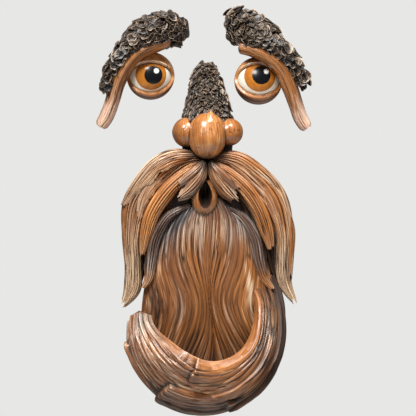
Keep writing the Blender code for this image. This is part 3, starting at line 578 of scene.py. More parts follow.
def add_egg(skin, ball, seed, look, point=0.0):
    """An egg shape with shallow carved streaks; point draws its top up to a tip."""
    turn = np.linspace(0, 2 * math.pi, EGG_SEGMENTS, endpoint=False)[None, :]
    lean = np.linspace(0, math.pi, EGG_RINGS + 1)[1:-1, None]
    fuller = np.where(lean < math.pi / 2, np.sin(lean) ** (-0.32 * (point > 0)), 1.0)
    x = np.sin(lean) * np.sin(turn) * fuller
    y = np.sin(lean) * np.cos(turn) * fuller
    z = np.cos(lean) * np.ones(turn.shape)
    narrow = 1 - 0.25 * point * past(z, 0.6, 0.4)
    across_mm = (turn / math.pi - 1) * ball["radii"][0] * FEEDER_PART / MM * 2.6
    along_mm = lean * ball["radii"][2] * FEEDER_PART / MM
    streak = cuts(across_mm / 3.4 + 40, along_mm / 12, seed, 0.13) * smooth_step(np.sin(lean) * 1.6)
    streak = streak * smooth_step(noise(across_mm / 5 + 9, along_mm / 9, seed + 3) * 2 + 0.4)
    swell = 1 + 0.016 * noise(x * 2.2 + 7, z * 2.2 + 3, seed + 5)
    swell = swell - EGG_STREAK_DEPTH * MM * streak / (ball["radii"][0] * FEEDER_PART)
    across = ball["centre"][0] + x * ball["radii"][0] * swell * narrow
    out = ball["centre"][1] + y * ball["radii"][1] * swell * (0.45 + 0.55 * narrow)
    peak = hump(x, 0.22, 0.15) * past(z, 0.60, 0.35)
    up = ball["centre"][2] + ball["radii"][2] * (z + 0.28 * point * peak)
    points = place(across, out, up, FEEDER_PART)
    # Painted shade: darker below, and where the ball meets the balls beside it.
    below = past(-z, look["dark_below"], 0.4)
    groove = unit(0.8 * streak + below * 0.8)
    for other in look.get("beside", ()):
        groove = np.maximum(groove, 0.75 * past(1.10, within(points, other), 0.10))
    worn = unit(look["worn"] + 0.25 * noise(across_mm / 5, along_mm / 9, seed + 9))
    tone = unit(look["tone"] + 0.25 * noise(across_mm / 2.5, along_mm / 14, seed + 11))
    numbers = skin.add(points, stacked(across_mm, along_mm, 0 * z), stacked(groove, worn, 0 * z), tone)
    skin.grid(numbers, close_columns=True)
    skin.cap(numbers[0])
    skin.cap(numbers[-1])


def cut_away(piece, cutter):
    """Takes the cutter's space out of a piece and removes the cutter."""
    made = piece.modifiers.new("cut", "BOOLEAN")
    made.operation = "DIFFERENCE"
    made.object = cutter
    made.solver = "MANIFOLD"
    bpy.context.view_layer.update()
    mesh = bpy.data.meshes.new_from_object(piece.evaluated_get(bpy.context.evaluated_depsgraph_get()))
    piece.modifiers.clear()
    mesh.name = piece.name
    piece.data = mesh
    mesh.set_sharp_from_angle(angle=math.radians(SHARP_ANGLE))
    bpy.data.objects.remove(cutter)
    darken_new(mesh)


def darken_new(mesh):
    """Paints the faces that a cut has made, whose points have no paint yet, near black as painted shade inside the
    hole.
    """
    count = len(mesh.vertices)
    tone = np.zeros(count, np.float32)
    paint = np.zeros(3 * count, np.float32)
    mesh.attributes["tone"].data.foreach_get("value", tone)
    mesh.attributes["paint"].data.foreach_get("vector", paint)
    paint = paint.reshape(-1, 3)
    paint[(tone == 0) & (np.abs(paint).sum(axis=1) == 0)] = (0.95, 0.0, 0.0)
    mesh.attributes["paint"].data.foreach_set("vector", paint.ravel())


def mouth_cutter():
    bm = bmesh.new()
    made = bmesh.ops.create_uvsphere(bm, u_segments=48, v_segments=32, radius=1.0)
    centre, radii = MOUTH["centre"], MOUTH["radii"]
    for vert in made["verts"]:
        x, y, z = vert.co
        # The hole is a drop: narrow at its top
        narrow = 1 - 0.45 * max(0.0, z)
        vert.co = (
            (centre[0] + x * radii[0] * narrow) * FEEDER_PART,
            -(centre[1] - y * radii[1]) * FEEDER_PART,
            (centre[2] + z * radii[2]) * FEEDER_PART,
        )
    return helper(bm, "mouth_cutter")


def nail_cutter(across, up):
    bm = bmesh.new()
    made = bmesh.ops.create_cone(
        bm, cap_ends=True, segments=40, radius1=NAIL_HOLE_RADIUS, radius2=NAIL_HOLE_RADIUS,
        depth=2 * NAIL_HOLE_DEPTH,
    )
    for vert in made["verts"]:
        x, y, z = vert.co
        vert.co = (across + x, z, up - y)
    bmesh.ops.recalc_face_normals(bm, faces=bm.faces[:])
    return helper(bm, "nail_cutter")


def helper(bm, name):
    mesh = bpy.data.meshes.new(name)
    bm.to_mesh(mesh)
    bm.free()
    return linked(name, mesh)


def belongs(piece, node):
    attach(piece, BODY)
    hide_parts(node)


# Paint

def add_node(tree, kind, sockets, **settings):
    made = tree.nodes.new(kind)
    for key, value in settings.items():
        setattr(made, key, value)
    for key, value in sockets.items():
        if isinstance(value, bpy.types.NodeSocket):
            tree.links.new(value, made.inputs[key])
        else:
            made.inputs[key].default_value = value
    return made


def mixed(tree, share, first, second):
    return add_node(tree, "ShaderNodeMix", {0: share, 6: first, 7: second}, data_type="RGBA").outputs[2]


def added(tree, first, second, clamp=False):
    made = add_node(tree, "ShaderNodeMath", {0: first, 1: second}, operation="ADD", use_clamp=clamp)
    return made.outputs[0]


def times(tree, first, second, clamp=False):
    made = add_node(tree, "ShaderNodeMath", {0: first, 1: second}, operation="MULTIPLY", use_clamp=clamp)
    return made.outputs[0]


def stretched(tree, value, low, high, new_low=0.0, new_high=1.0):
    sockets = {"Value": value, "From Min": low, "From Max": high, "To Min": new_low, "To Max": new_high}
    return add_node(tree, "ShaderNodeMapRange", sockets).outputs[0]


def spotted(tree, vector, scale, detail, rough=0.5, distort=0.0):
    sockets = {"Vector": vector, "Scale": scale, "Detail": detail, "Roughness": rough, "Distortion": distort}
    return add_node(tree, "ShaderNodeTexNoise", sockets).outputs[0]


def streaks(tree, vector, scale, detail, rough, distort=0.0):
    made = add_node(tree, "ShaderNodeVectorMath", {0: vector, 1: scale}, operation="MULTIPLY").outputs[0]
    return spotted(tree, made, 1.0, detail, rough, distort)


def object_position(tree):
    return tree.nodes.new("ShaderNodeTexCoord").outputs["Object"]


def painted(tree):
    """The mesh's groove wash and painted shade, worn paint and painted highlights, stain and tone."""
    paint = add_node(tree, "ShaderNodeSeparateXYZ", {0: read(tree, "paint", "Vector")})
    return (*paint.outputs, read(tree, "tone", "Fac"))


def read(tree, name, output):
    return add_node(tree, "ShaderNodeAttribute", {}, attribute_name=name).outputs[output]


def started(name):
    material = bpy.data.materials.new(name)
    material.use_nodes = True
    tree = material.node_tree
    return material, tree, tree.nodes["Principled BSDF"]


def embossed(tree, shader, height, strength, distance):
    bump = add_node(tree, "ShaderNodeBump", {"Strength": strength, "Distance": distance, "Height": height})
    tree.links.new(bump.outputs[0], shader.inputs["Normal"])


def varnished(shader, weight, rough):
    shader.inputs["Coat Weight"].default_value = weight
    shader.inputs["Coat Roughness"].default_value = rough


def plain_back(tree, shader, colour, depth_painted=BACK_PAINT_DEPTH):
    """Paints the flat back, which lies on the trunk, a plain dark brown, and the rest as given."""
    position = object_position(tree)
    depth = add_node(tree, "ShaderNodeSeparateXYZ", {0: position}).outputs[1]
    mottle = stretched(tree, spotted(tree, position, 60.0, 4.0), 0.3, 0.7)
    back = mixed(tree, mottle, BACK_BROWN, BACK_DARK)
    made = mixed(tree, stretched(tree, depth, -depth_painted, 0.001 - depth_painted), colour, back)
    tree.links.new(made, shader.inputs["Base Color"])


def painted_wood(name, colours, gloss, streak, fine, relief, coat):
    """Resin painted as wood: light and dark streaks, dark wash and painted shade, worn pale ridges and painted
    highlights.
    """
    material, tree, shader = started(name)
    strand = read(tree, "strand", "Vector")
    groove, worn, stain, tone = painted(tree)
    broad = streaks(tree, strand, (0.42, 0.03, 1.0), 3.0, 0.55, 0.3)
    narrow = streaks(tree, strand, streak, 4.0, 0.65)
    hair = streaks(tree, strand, (streak[0] * 2.6, streak[1] * 1.6, 1.0), 2.0, 0.6)

    warmth = added(tree, tone, times(tree, stretched(tree, broad, 0.3, 0.7, -0.5, 0.5), 0.5))
    warmth = added(tree, warmth, stretched(tree, narrow, 0.3, 0.7, -fine, fine), clamp=True)
    colour = mixed(tree, warmth, colours["shade"], colours["wood"])
    bright = added(tree, warmth, stretched(tree, hair, 0.3, 0.7, -0.2, 0.2))
    colour = mixed(tree, stretched(tree, bright, 0.75, 1.25), colour, colours["light"])

    stained = times(tree, stain, stretched(tree, narrow, 0.28, 0.52, 0.25, 1.0), clamp=True)
    colour = mixed(tree, stained, colour, colours["stain"])

    brushed = stretched(tree, narrow, 0.32, 0.68, -0.55, 0.55)
    brushed = added(tree, brushed, stretched(tree, hair, 0.3, 0.7, -0.35, 0.35))
    brushed = added(tree, times(tree, worn, 1.7), brushed)
    brushed = stretched(tree, brushed, 0.50, 1.7)
    pale = mixed(tree, times(tree, stain, 0.75), colours["worn"], colours["cool_worn"])
    colour = mixed(tree, brushed, colour, pale)

    # The near black: the wash in the grooves, and painted shade under and between the pieces.
    wash_and_shade = added(tree, groove, stretched(tree, hair, 0.35, 0.75, 0.18, -0.28))
    wash_and_shade = stretched(tree, wash_and_shade, 0.12, 0.85, 0.0, 0.93)
    colour = mixed(tree, wash_and_shade, colour, colours["wash_and_shade"])
    plain_back(tree, shader, colour)

    rough = added(tree, times(tree, brushed, 0.18), stretched(tree, narrow, 0.3, 0.7, gloss, gloss + 0.16))
    rough = added(tree, rough, times(tree, wash_and_shade, 0.25))
    tree.links.new(rough, shader.inputs["Roughness"])
    embossed(tree, shader, added(tree, narrow, times(tree, hair, 0.5)), relief, 0.0004)
    varnished(shader, coat, 0.18)
    return material


def painted_bark(name, colours):
    """Resin painted as bark: near black in hollows and as painted shade under flakes; grey-brown plates, tan
    dry-brushed edges.
    """
    material, tree, shader = started(name)
    groove, worn, stain, tone = painted(tree)
    position = object_position(tree)
    patches = spotted(tree, position, 90.0, 3.0)
    grain = spotted(tree, position, 620.0, 4.0, 0.7)
    shade = added(tree, tone, stretched(tree, patches, 0.35, 0.65, -0.3, 0.3), clamp=True)
    colour = mixed(tree, shade, colours["shade"], colours["bark"])
    cool = times(tree, stain, stretched(tree, patches, 0.62, 0.42), clamp=True)
    colour = mixed(tree, cool, colour, colours["cool"])
    dry = added(tree, times(tree, worn, 1.5), stretched(tree, grain, 0.3, 0.7, -0.55, 0.55))
    colour = mixed(tree, times(tree, stretched(tree, dry, 0.35, 1.25), 0.9), colour, colours["edge"])
    # Near black in the hollows, and painted shade under the flakes.
    wash_and_shade = stretched(tree, added(tree, groove, stretched(tree, grain, 0.3, 0.7, 0.2, -0.2)), 0.15, 0.9)
    colour = mixed(tree, times(tree, wash_and_shade, 0.95), colour, colours["wash_and_shade"])
    plain_back(tree, shader, colour)
    tree.links.new(stretched(tree, grain, 0.3, 0.7, 0.36, 0.62), shader.inputs["Roughness"])
    embossed(tree, shader, grain, 0.45, 0.0005)
    varnished(shader, 0.15, 0.25)
    return material


def painted_eye(name, eye, colours):
    """A glossy eyeball: cream white, a wide orange-brown iris, a black pupil and a painted white glint."""
    material, tree, shader = started(name)
    position = object_position(tree)
    x, z = eye["place"]

    def disc(spec, soft):
        """The distance from the middle of a disc, given as (x, z, radius), and its soft-edged mask."""
        middle = (x + spec[0], 0.0, z + spec[1])
        offset = add_node(tree, "ShaderNodeVectorMath", {0: position, 1: middle}, operation="SUBTRACT")
        flat = {0: offset.outputs[0], 1: (1.0, 0.0, 1.0)}
        flat = add_node(tree, "ShaderNodeVectorMath", flat, operation="MULTIPLY")
        reach = add_node(tree, "ShaderNodeVectorMath", {0: flat.outputs[0]}, operation="LENGTH")
        reach = reach.outputs["Value"]
        return reach, stretched(tree, reach, spec[2] + soft, spec[2] - soft)

    mottle = spotted(tree, position, 260.0, 3.0)
    white = mixed(tree, stretched(tree, mottle, 0.35, 0.7), colours["white"], colours["cream"])
    reach, iris = disc(eye["iris"], 0.00035)
    warm = mixed(tree, stretched(tree, mottle, 0.3, 0.7), colours["iris"], colours["iris_light"])
    rim = stretched(tree, reach, eye["iris"][2] - 0.0016, eye["iris"][2] + 0.0004, 0.0, 0.35)
    warm = mixed(tree, rim, warm, colours["iris_rim"])
    colour = mixed(tree, iris, white, warm)
    colour = mixed(tree, disc(eye["pupil"], 0.00022)[1], colour, colours["pupil"])
    colour = mixed(tree, disc(eye["glint"], 0.0006)[1], colour, colours["glint"])
    # The nail hole behind is plain to its bottom.
    plain_back(tree, shader, colour, NAIL_HOLE_DEPTH + 0.0012)
    shader.inputs["Roughness"].default_value = 0.30
    shader.inputs["Specular IOR Level"].default_value = 0.22
    varnished(shader, 0.14, 0.12)
    return material


def plain(name, colour, rough):
    material, tree, shader = started(name)
    darker = [channel * 0.97 for channel in colour[:3]] + [1.0]
    made = mixed(tree, spotted(tree, object_position(tree), 1.5, 2.0), colour, darker)
    tree.links.new(made, shader.inputs["Base Color"])
    shader.inputs["Roughness"].default_value = rough
    return material


# Settings

def colour_setting(name, value, description):
    return FloatVectorProperty(
        name=name, description=description, default=(*value, 1.0), size=4, min=0.0, max=1.0, subtype="COLOR"
    )


class HairSettings(bpy.types.PropertyGroup):
    strand_relief: FloatProperty(
        name="Strand relief", description="Depth of the finer grooves between strands, as a share of its full depth",
        default=1.0, min=0.0, max=2.0, subtype="FACTOR",
    )
    wood: colour_setting("Wood", (0.47, 0.175, 0.045), "Paint on the body of the locks")
    light: colour_setting("Light wood", (0.68, 0.33, 0.115), "Lightest streaks of the wood")
    shade: colour_setting("Shaded wood", (0.18, 0.064, 0.019), "Brown streaks of the wood")
    # Also the colour of the painted highlights on the beard.
    worn: colour_setting("Worn edges", (0.68, 0.50, 0.335), "Pale dry-brushed ridges and tips")
    cool_worn: colour_setting("Cool worn edges", (0.42, 0.43, 0.45), "Grey dry-brushed ridges over the stain")
    stain: colour_setting("Stain", (0.040, 0.042, 0.050), "Blue-black paint under the moustache")
    # Also the colour of the painted shade under and between the pieces.
    wash_and_shade: colour_setting("Wash", (0.016, 0.007, 0.003), "Dark wash in the grooves")


class BarkSettings(bpy.types.PropertyGroup):
    flake_radius: FloatProperty(
        name="Flake radius", description="Half the width of a flake of bark on the brows", default=0.0041,
        min=0.002, max=0.008, unit="LENGTH",
    )
    nose_flake_radius: FloatProperty(
        name="Nose flake radius", description="Half the width of a flake of bark on the nose", default=0.0025,
        min=0.0015, max=0.006, unit="LENGTH",
    )
    bark: colour_setting("Bark", (0.078, 0.048, 0.030), "Paint on the flakes")
    shade: colour_setting("Dark bark", (0.022, 0.014, 0.010), "Darker flakes")
    cool: colour_setting("Cool bark", (0.050, 0.058, 0.070), "Blue-grey patches")
    edge: colour_setting("Dry-brushed edges", (0.40, 0.30, 0.215), "Tan paint on the edges of the flakes")
    # Also the colour of the painted shade under the flakes.
    wash_and_shade: colour_setting("Hollows", (0.004, 0.003, 0.002), "Near black between the flakes")


class EyeSettings(bpy.types.PropertyGroup):
    white: colour_setting("White", (0.90, 0.885, 0.80), "The eyeball")
    cream: colour_setting("Cream", (0.82, 0.77, 0.65), "Warmer patches of the eyeball")
    iris: colour_setting("Iris", (0.37, 0.120, 0.015), "Iris")
    iris_light: colour_setting("Light iris", (0.50, 0.185, 0.026), "Lighter patches of the iris")
    iris_rim: colour_setting("Iris rim", (0.20, 0.06, 0.012), "Edge of the iris")
    pupil: colour_setting("Pupil", (0.004, 0.005, 0.007), "Pupil")
    glint: colour_setting("Glint", (0.93, 0.93, 0.92), "White spot painted in the pupil")


class StageSettings(bpy.types.PropertyGroup):
    camera_distance: FloatProperty(
        name="Camera distance", description="From the camera to the face", default=6.0, min=1.0, unit="LENGTH"
    )
    frame_width: FloatProperty(
        name="Frame width", description="What the camera takes in across the face", default=0.36458, unit="LENGTH"
    )
    key_power: FloatProperty(name="Key light", description="Power of the main light", default=76.0, unit="POWER")
    ambient: FloatProperty(
        name="Ambient light", description="Strength of the light from all round", default=0.15, min=0.0
    )
    floor_below: FloatProperty(
        name="Floor height", description="How far the floor lies below the mount", default=0.9, unit="LENGTH"
    )
    floor_segments: IntProperty(name="Floor segments", description="Sides of the round floor", default=96, min=8)


WOOD_COLOURS = ("wood", "light", "shade", "worn", "cool_worn", "stain", "wash_and_shade")
BARK_COLOURS = ("bark", "shade", "cool", "edge", "wash_and_shade")
EYE_COLOURS = ("white", "cream", "iris", "iris_light", "iris_rim", "pupil", "glint")


def colours_of(settings, names):
    return {name: tuple(getattr(settings, name)) for name in names}


def hair_material(settings):
    return wood_material(settings, "painted_hair", (0.85, 0.03, 1.0), 0.35, 0.31, 0.4, 0.22)


def smooth_wood_material(settings, name, fine, gloss, coat, **changes):
    return wood_material(settings, name, (0.9, 0.06, 1.0), fine, gloss, 0.08, coat, **changes)


def wood_material(settings, name, streak, fine, gloss, relief, coat, **changes):
    """The material of this name, which is made the first time that it is asked for."""
    colours = {**colours_of(settings, WOOD_COLOURS), **changes}
    found = bpy.data.materials.get(name)
    return found or painted_wood(name, colours, gloss, streak, fine, relief, coat)


def bark_material(settings):
    found = bpy.data.materials.get("painted_bark")
    return found or painted_bark("painted_bark", colours_of(settings, BARK_COLOURS))


# Pieces

class TREEFACE_OT_beard(bpy.types.Operator):
    """The beard fanning out under the lip, the chin behind it and a lock at each side"""

    bl_idname = "treeface.beard"
    bl_label = "Beard"

    def execute(self, context):
        settings = context.scene.tree_face_hair
        material = hair_material(settings)
        beard = self.beard(settings.strand_relief, material)
        cut_away(beard, mouth_cutter())
        belongs(beard, FEEDER)
        chin = make_lock(
            "chin", material, CHIN, "chin", SEEDS["chin"], BACKS["chin"], ragged=0.0, columns=CHIN_COLUMNS
        )
        belongs(chin, FEEDER)
        for locks, kind in ((BEARD_SIDES, "beard_lock"), (CHEEKS, "cheek")):
            for number, (side, lock) in enumerate(locks.items()):
                seed = SEEDS[kind] + number
                made = make_lock(
                    f"{side}_{kind}", material, lock, kind, seed, BACKS[kind], fine=settings.strand_relief
                )
                belongs(made, FEEDER)
        return {"FINISHED"}

    def beard(self, relief, material):
        q, t = np.meshgrid(np.linspace(-1, 1, BEARD_COLUMNS + 1), np.linspace(0, 1, BEARD_ROWS + 1))
        points, across, along, groove = beard_surface(q, t, SEEDS["beard"], relief)
        top = smooth_step(1 - (t - 0.12) / 0.42)
        sides = past(np.abs(q + 0.02), 0.15, 0.6)
        stain = unit(top * (0.45 + 0.9 * sides) + 0.25 * noise(across / 9, along / 30, 71))
        # Painted highlight: a pale band across the bulge of the beard, laid into the worn paint.
        shine = hump(t, 0.31, 0.09) * (1 - sides * 0.5)
        # A painted highlight runs down the right side: the pale shine of a glossy strand, with less dark paint.
        right = np.exp(-(((q - 0.67 - 0.32 * (t - 0.6)) / 0.055) ** 2)) * past(t, 0.40, 0.1)
        worn = 0.16 + 0.30 * noise(across / 4, along / 40, 72) + 0.12 * top + 0.36 * shine + 0.75 * right
        worn = unit(worn) * (1 - groove)
        tone = 0.42 + 0.20 * q + 0.22 * noise(across / 3, along / 50, 73) - 0.30 * top
        # Painted shade: the bowl of the tray, under the moustache at the sides, the top edge, the lower left side
        # and round the lip.
        inside = past(t, 0.70, 0.24)
        under = past(np.abs(q), 0.60, 0.35) * past(0.50, t, 0.2)
        dark = unit(1.1 * groove + 0.68 * inside + 0.5 * under + 0.5 * past(0.05, t, 0.05))
        dark = unit(dark + 0.32 * past(-q, 0.55, 0.35) * past(t, 0.48, 0.2) - 0.3 * right)
        dark = np.maximum(dark, 0.8 * past(1.24, within(points, LIP), 0.22))
        skin = Skin()
        carve(skin, points, across, along, stacked(dark, worn, stain), unit(tone), 0.0)
        return skin.object("beard", material)


def curl_lift(angle, share, seed):
    """How far the overlapping locks lift the curl, and its paint there: 1 is painted shadow by an end or a side, -1
    a pale rim.
    """
    lift = np.zeros(angle.shape)
    edge = np.zeros(angle.shape)
    for number, ((low, high), end, blunt, raised) in enumerate(CURL_OVERLAPS):
        lobes = np.abs(np.sin(math.pi * (share - low) / OVERLAP_LOBE))
        middle = (low + high) / 2
        off_middle = np.abs(share - middle)
        # The end is rounded at its corners.
        corner = np.clip(off_middle / (blunt * (high - low) / 2), 0.0, 1.2) ** 4 + past(share, 0.82, 0.18)
        ragged = 1.8 * lobes + 1.2 * noise(share * 6, 0.5, seed + number) - 4.0 * corner
        left = end + ragged - angle
        run = unit(left / OVERLAP_POINT)
        half = (high - low) / 2 * (blunt + (1 - blunt) * run)
        aside = half - off_middle
        inside = smooth_step(aside / 0.03 + 0.5) * smooth_step(left / 1.6)
        near_end = smooth_step((angle - end + 16.0) / 10.0) * smooth_step((end + 12.0 - angle) / 5.0)
        swell = 1 + 0.35 * hump(left, 4.0, 4.0)
        lift = lift + raised * inside * swell * (0.3 + 0.7 * smooth_step((share + 0.02) / 0.15))
        across_end = smooth_step((blunt * (high - low) / 2 - off_middle) / 0.04 + 0.4)
        # Painted shadow: the foot below each end, and a seam along each side.
        foot = 0.8 * across_end * past(0.8, left, 0.8) * smooth_step((left + 5.0) / 4.5)
        seam = smooth_step((aside + 0.05) / 0.04) * past(0.004, aside, 0.01) * near_end
        edge = np.maximum(edge, np.maximum(foot, seam * (left > 0)))
        rim = inside * past(3.6, left, 2.2)
        edge = np.where((rim > 0.3) & (inside > 0.8), -rim, edge)
    return lift, edge


class TREEFACE_OT_curl(bpy.types.Operator):
    """The end of the beard, curled round from the right cheek to make the seed tray"""

    bl_idname = "treeface.curl"
    bl_label = "Curled end and seed tray"

    def execute(self, context):
        settings = context.scene.tree_face_hair
        share, angle = np.meshgrid(
            np.linspace(0, 1, CURL_COLUMNS + 1), np.linspace(CURL_FROM, CURL_TO, CURL_ROWS + 1)
        )
        # The tip is blunt: its strands end in a slanted row of rounded lobes.
        lobed = past(0.92, share, 0.1)
        lobes = 3.6 * valley(share, TIP_LOBES) - 1.0 * noise(share * 9, 0.5, 8)
        ends = -12.0 * (1 - share) ** 2.2 - lobed * lobes
        angle = angle + ends * past(angle, 160, 40)
        t = (angle - CURL_FROM) / (CURL_TO - CURL_FROM)
        outer, rim, rim_out, belly = (
            blend(values, t) for values in (CURL_OUTER, CURL_RIM, CURL_RIM_OUT, CURL_BELLY_OUT)
        )
        across = share * CURL_WIDTH_MM
        along = t * CURL_LENGTH_MM
        relief = settings.strand_relief
        depth, groove = carved(share, CURL_STRANDS, across, along, SEEDS["curl"], FEEDER_PART, relief, 0.7)
        lift, brink = curl_lift(angle, share, SEEDS["curl_overlaps"])
        split = valley(share, TIP_LOBES) ** 1.5
        lift = lift - 1.3 * split * past(angle, 168, 26)
        band = past(share, 0.86, 0.08) * past(100, angle, 40)
        depth = depth * (1 - 0.75 * band)
        groove = groove * (1 - 0.6 * band)
        turn = np.radians(80) * share
        radial = rim + (outer - rim + lift - depth) * np.cos(turn)
        out = belly + (rim_out - belly + lift - depth) * np.sin(turn)
        front_paint, tone = self.coat(angle, t, share, across, along, groove, brink, band, split)

        # From the rim the inner face runs down to the tray's floor, and from the belly straight to the back.
        wall = TRAY_WALL / FEEDER_PART
        tip_rim, tip_outer, tip_out, tip_belly = (values[:, -1:] for values in (rim, outer, rim_out, belly))
        inner_radial = [tip_rim]
        inner_out = [tip_out - 0.4 * wall]
        wide = np.maximum(tip_outer - wall - tip_rim, NARROWEST_HOLLOW)
        deep = np.maximum(tip_out - wall - tip_belly, NARROWEST_HOLLOW)
        for turned in INNER_TURNS:
            inner_radial.append(tip_rim + wide * math.cos(turned))
            inner_out.append(tip_belly + deep * math.sin(turned))
        back_out = np.full((CURL_ROWS + 1, 1), CURL_BACK_OUT)
        inner_radial.append(np.full((CURL_ROWS + 1, 1), CURL_FOOT))
        inner_out.append(back_out)
        count = len(inner_radial)
        side_radial = [outer[:, :1] - CURL_BACK_INSET, outer[:, :1] - 0.5 * CURL_BACK_INSET]
        radial = np.concatenate([*side_radial, radial, *inner_radial], axis=1)
        out = np.concatenate([back_out, 0.5 * belly[:, :1], out, *inner_out], axis=1)

        def widened(values, side=1.0, inner=1.0):
            """The front's values, carried on over the two columns of the side and over the inner face."""
            ends = [values[:, :1] * side] * 2 + [values] + [values[:, -1:] * inner] * count
            return np.concatenate(ends, axis=1)

        turned = np.radians(widened(angle))
        curl_across = CURL_CENTRE[0] + radial * np.cos(turned)
        points = place(curl_across, out, CURL_CENTRE[1] - radial * np.sin(turned), FEEDER_PART)
        steps = np.array([-24, -12] + [0] * (CURL_COLUMNS + 1) + [4 * (k + 1) for k in range(count)])
        strand = stacked(widened(across) + steps, widened(along), np.zeros(radial.shape))
        # The side and the inner face of the tray are painted darker, as painted shade.
        coats = [[0.40, 0.0, 0.0]] * 2, [[0.15, 0.12, 0.0]] + [[0.55, 0.05, 0.2]] * (count - 1)
        side, inner = (np.broadcast_to(np.array(coat), (CURL_ROWS + 1, len(coat), 3)) for coat in coats)
        paint = np.concatenate([side, front_paint, inner], axis=1)
        skin = Skin()
        numbers = skin.add(points, strand, paint, unit(widened(tone, 0.6, 0.8)))
        skin.grid(numbers, close_columns=True)
        skin.cap(numbers[0])
        skin.cap(numbers[-1])
        belongs(skin.object("beard_curl", hair_material(settings)), FEEDER)
        return {"FINISHED"}

    def coat(self, angle, t, share, across, along, groove, brink, band, split):
        """The paint and the tone of the outer face: the underside, the cheek end and the belly side are painted
        darker, as painted shade.
        """
        tips = past(t, 0.86, 0.14)
        low = past(0.62, share, 0.5) * past(0.80, t, 0.15)
        high = past(share, 0.72, 0.2)
        right = past(70, angle, 60)
        pale, seam = unit(-brink), unit(brink)
        worn = 0.26 + 0.48 * tips - 0.20 * right + 0.34 * noise(across / 3, along / 44, 21)
        worn = worn - 0.16 * high * (1 - tips) - 0.22 * low + 0.28 * pale * past(0.85, share, 0.1)
        worn = unit(worn) * (1 - groove) ** 0.8
        tone = 0.48 + 0.24 * noise(across / 3, along / 52, 22) + 0.10 * band - 0.30 * low - 0.15 * right
        stain = unit(0.15 + 0.35 * tips - 0.3 * right + 0.4 * noise(across / 7, along / 40, 23)) * (1 - band)
        # Painted shade: the overlaps' shadows, the underside, the cheek end and the belly side.
        dark = groove * (1 - 0.5 * pale) + 0.95 * seam + 0.60 * low + 0.48 * right * (1 - band)
        dark = unit(dark + 0.30 * past(0.16, share, 0.16) + 0.60 * tips * split)
        return stacked(dark, worn, stain), tone


class TREEFACE_OT_moustache(bpy.types.Operator):
    """The four locks on each side of the moustache, and the three thin splinters that lie on them"""

    bl_idname = "treeface.moustache"
    bl_label = "Moustache"

    def execute(self, context):
        for side, locks in MOUSTACHE.items():
            for number, (name, lock) in enumerate(locks.items()):
                ragged = TUFT_RAGGED if name == "tuft" else RAGGED
                self.make(context, side, number, name, lock, name, "moustache", ragged, 0.72)
        for side, locks in SPLINTERS.items():
            for number, lock in enumerate(locks):
                look = "tuft" if number == 2 else "splinter"
                self.make(context, side, number, number + 1, lock, look, "splinter", SPLINTER_RAGGED, 0.5)
        return {"FINISHED"}

    def make(self, context, side, number, name, lock, look, kind, ragged, deep):
        settings = context.scene.tree_face_hair
        right = side == "right"
        seed = SEEDS[kind] + RIGHT_SEED_STEP * right + LOCK_SEED_STEP * number
        rear = BACKS[kind] - BACK_STEP * number - RIGHT_BACK_STEP * right
        made = make_lock(
            f"{side}_{kind}_{name}", hair_material(settings), lock, look, seed, rear,
            fine=settings.strand_relief, ragged=ragged, deep=deep,
        )
        belongs(made, FEEDER)


class TREEFACE_OT_nose(bpy.types.Operator):
    """The three balls of the nose, and the lip round the mouth"""

    bl_idname = "treeface.nose"
    bl_label = "Nose and lip"

    def execute(self, context):
        material = smooth_wood_material(context.scene.tree_face_hair, "painted_smooth_wood", 0.22, 0.20, 0.5)
        for number, (name, ball) in enumerate(NOSE_BALLS.items()):
            tone, point = (0.66, 0.50) if name == "tip" else (0.52, 0.0)
            others = [other for key, other in NOSE_BALLS.items() if key != name]
            # Each ball is painted darker below and beside the others, as painted shade.
            look = {"worn": 0.16, "tone": tone, "dark_below": 0.62, "beside": others}
            skin = Skin()
            add_egg(skin, ball, SEEDS["nose_ball"] + BALL_SEED_STEP * number, look, point)
            belongs(skin.object(f"nose_{name}", material), FEEDER)
        skin = Skin()
        # The lip is painted darker below, as painted shade.
        add_egg(skin, LIP, SEEDS["lip"], {"worn": 0.2, "tone": 0.5, "dark_below": 0.8})
        lip = skin.object("lip", material)
        cut_away(lip, mouth_cutter())
        belongs(lip, FEEDER)
        return {"FINISHED"}


def surface_frame(lock, q, t, part, origin):
    """A point on a lock's plain surface, the direction out of it and the direction along it."""
    step = 0.01
    plain_lock = {**lock, "strands": 0}

    def at(dq, dt):
        return lock_surface(plain_lock, np.array(q + dq), np.array(t + dt), part, origin, 1, 0.0)[0]

    here = at(0.0, 0.0)
    ahead = at(0.0, step)
    aside = at(step, 0.0)
    if t + step > 1:
        ahead = 2 * here - at(0.0, -step)
    along = (ahead - here) / np.linalg.norm(ahead - here)
    normal = np.cross(aside - here, along)
    normal = normal / np.linalg.norm(normal)
    if normal[1] > 0:
        normal = -normal
    return here, normal, along


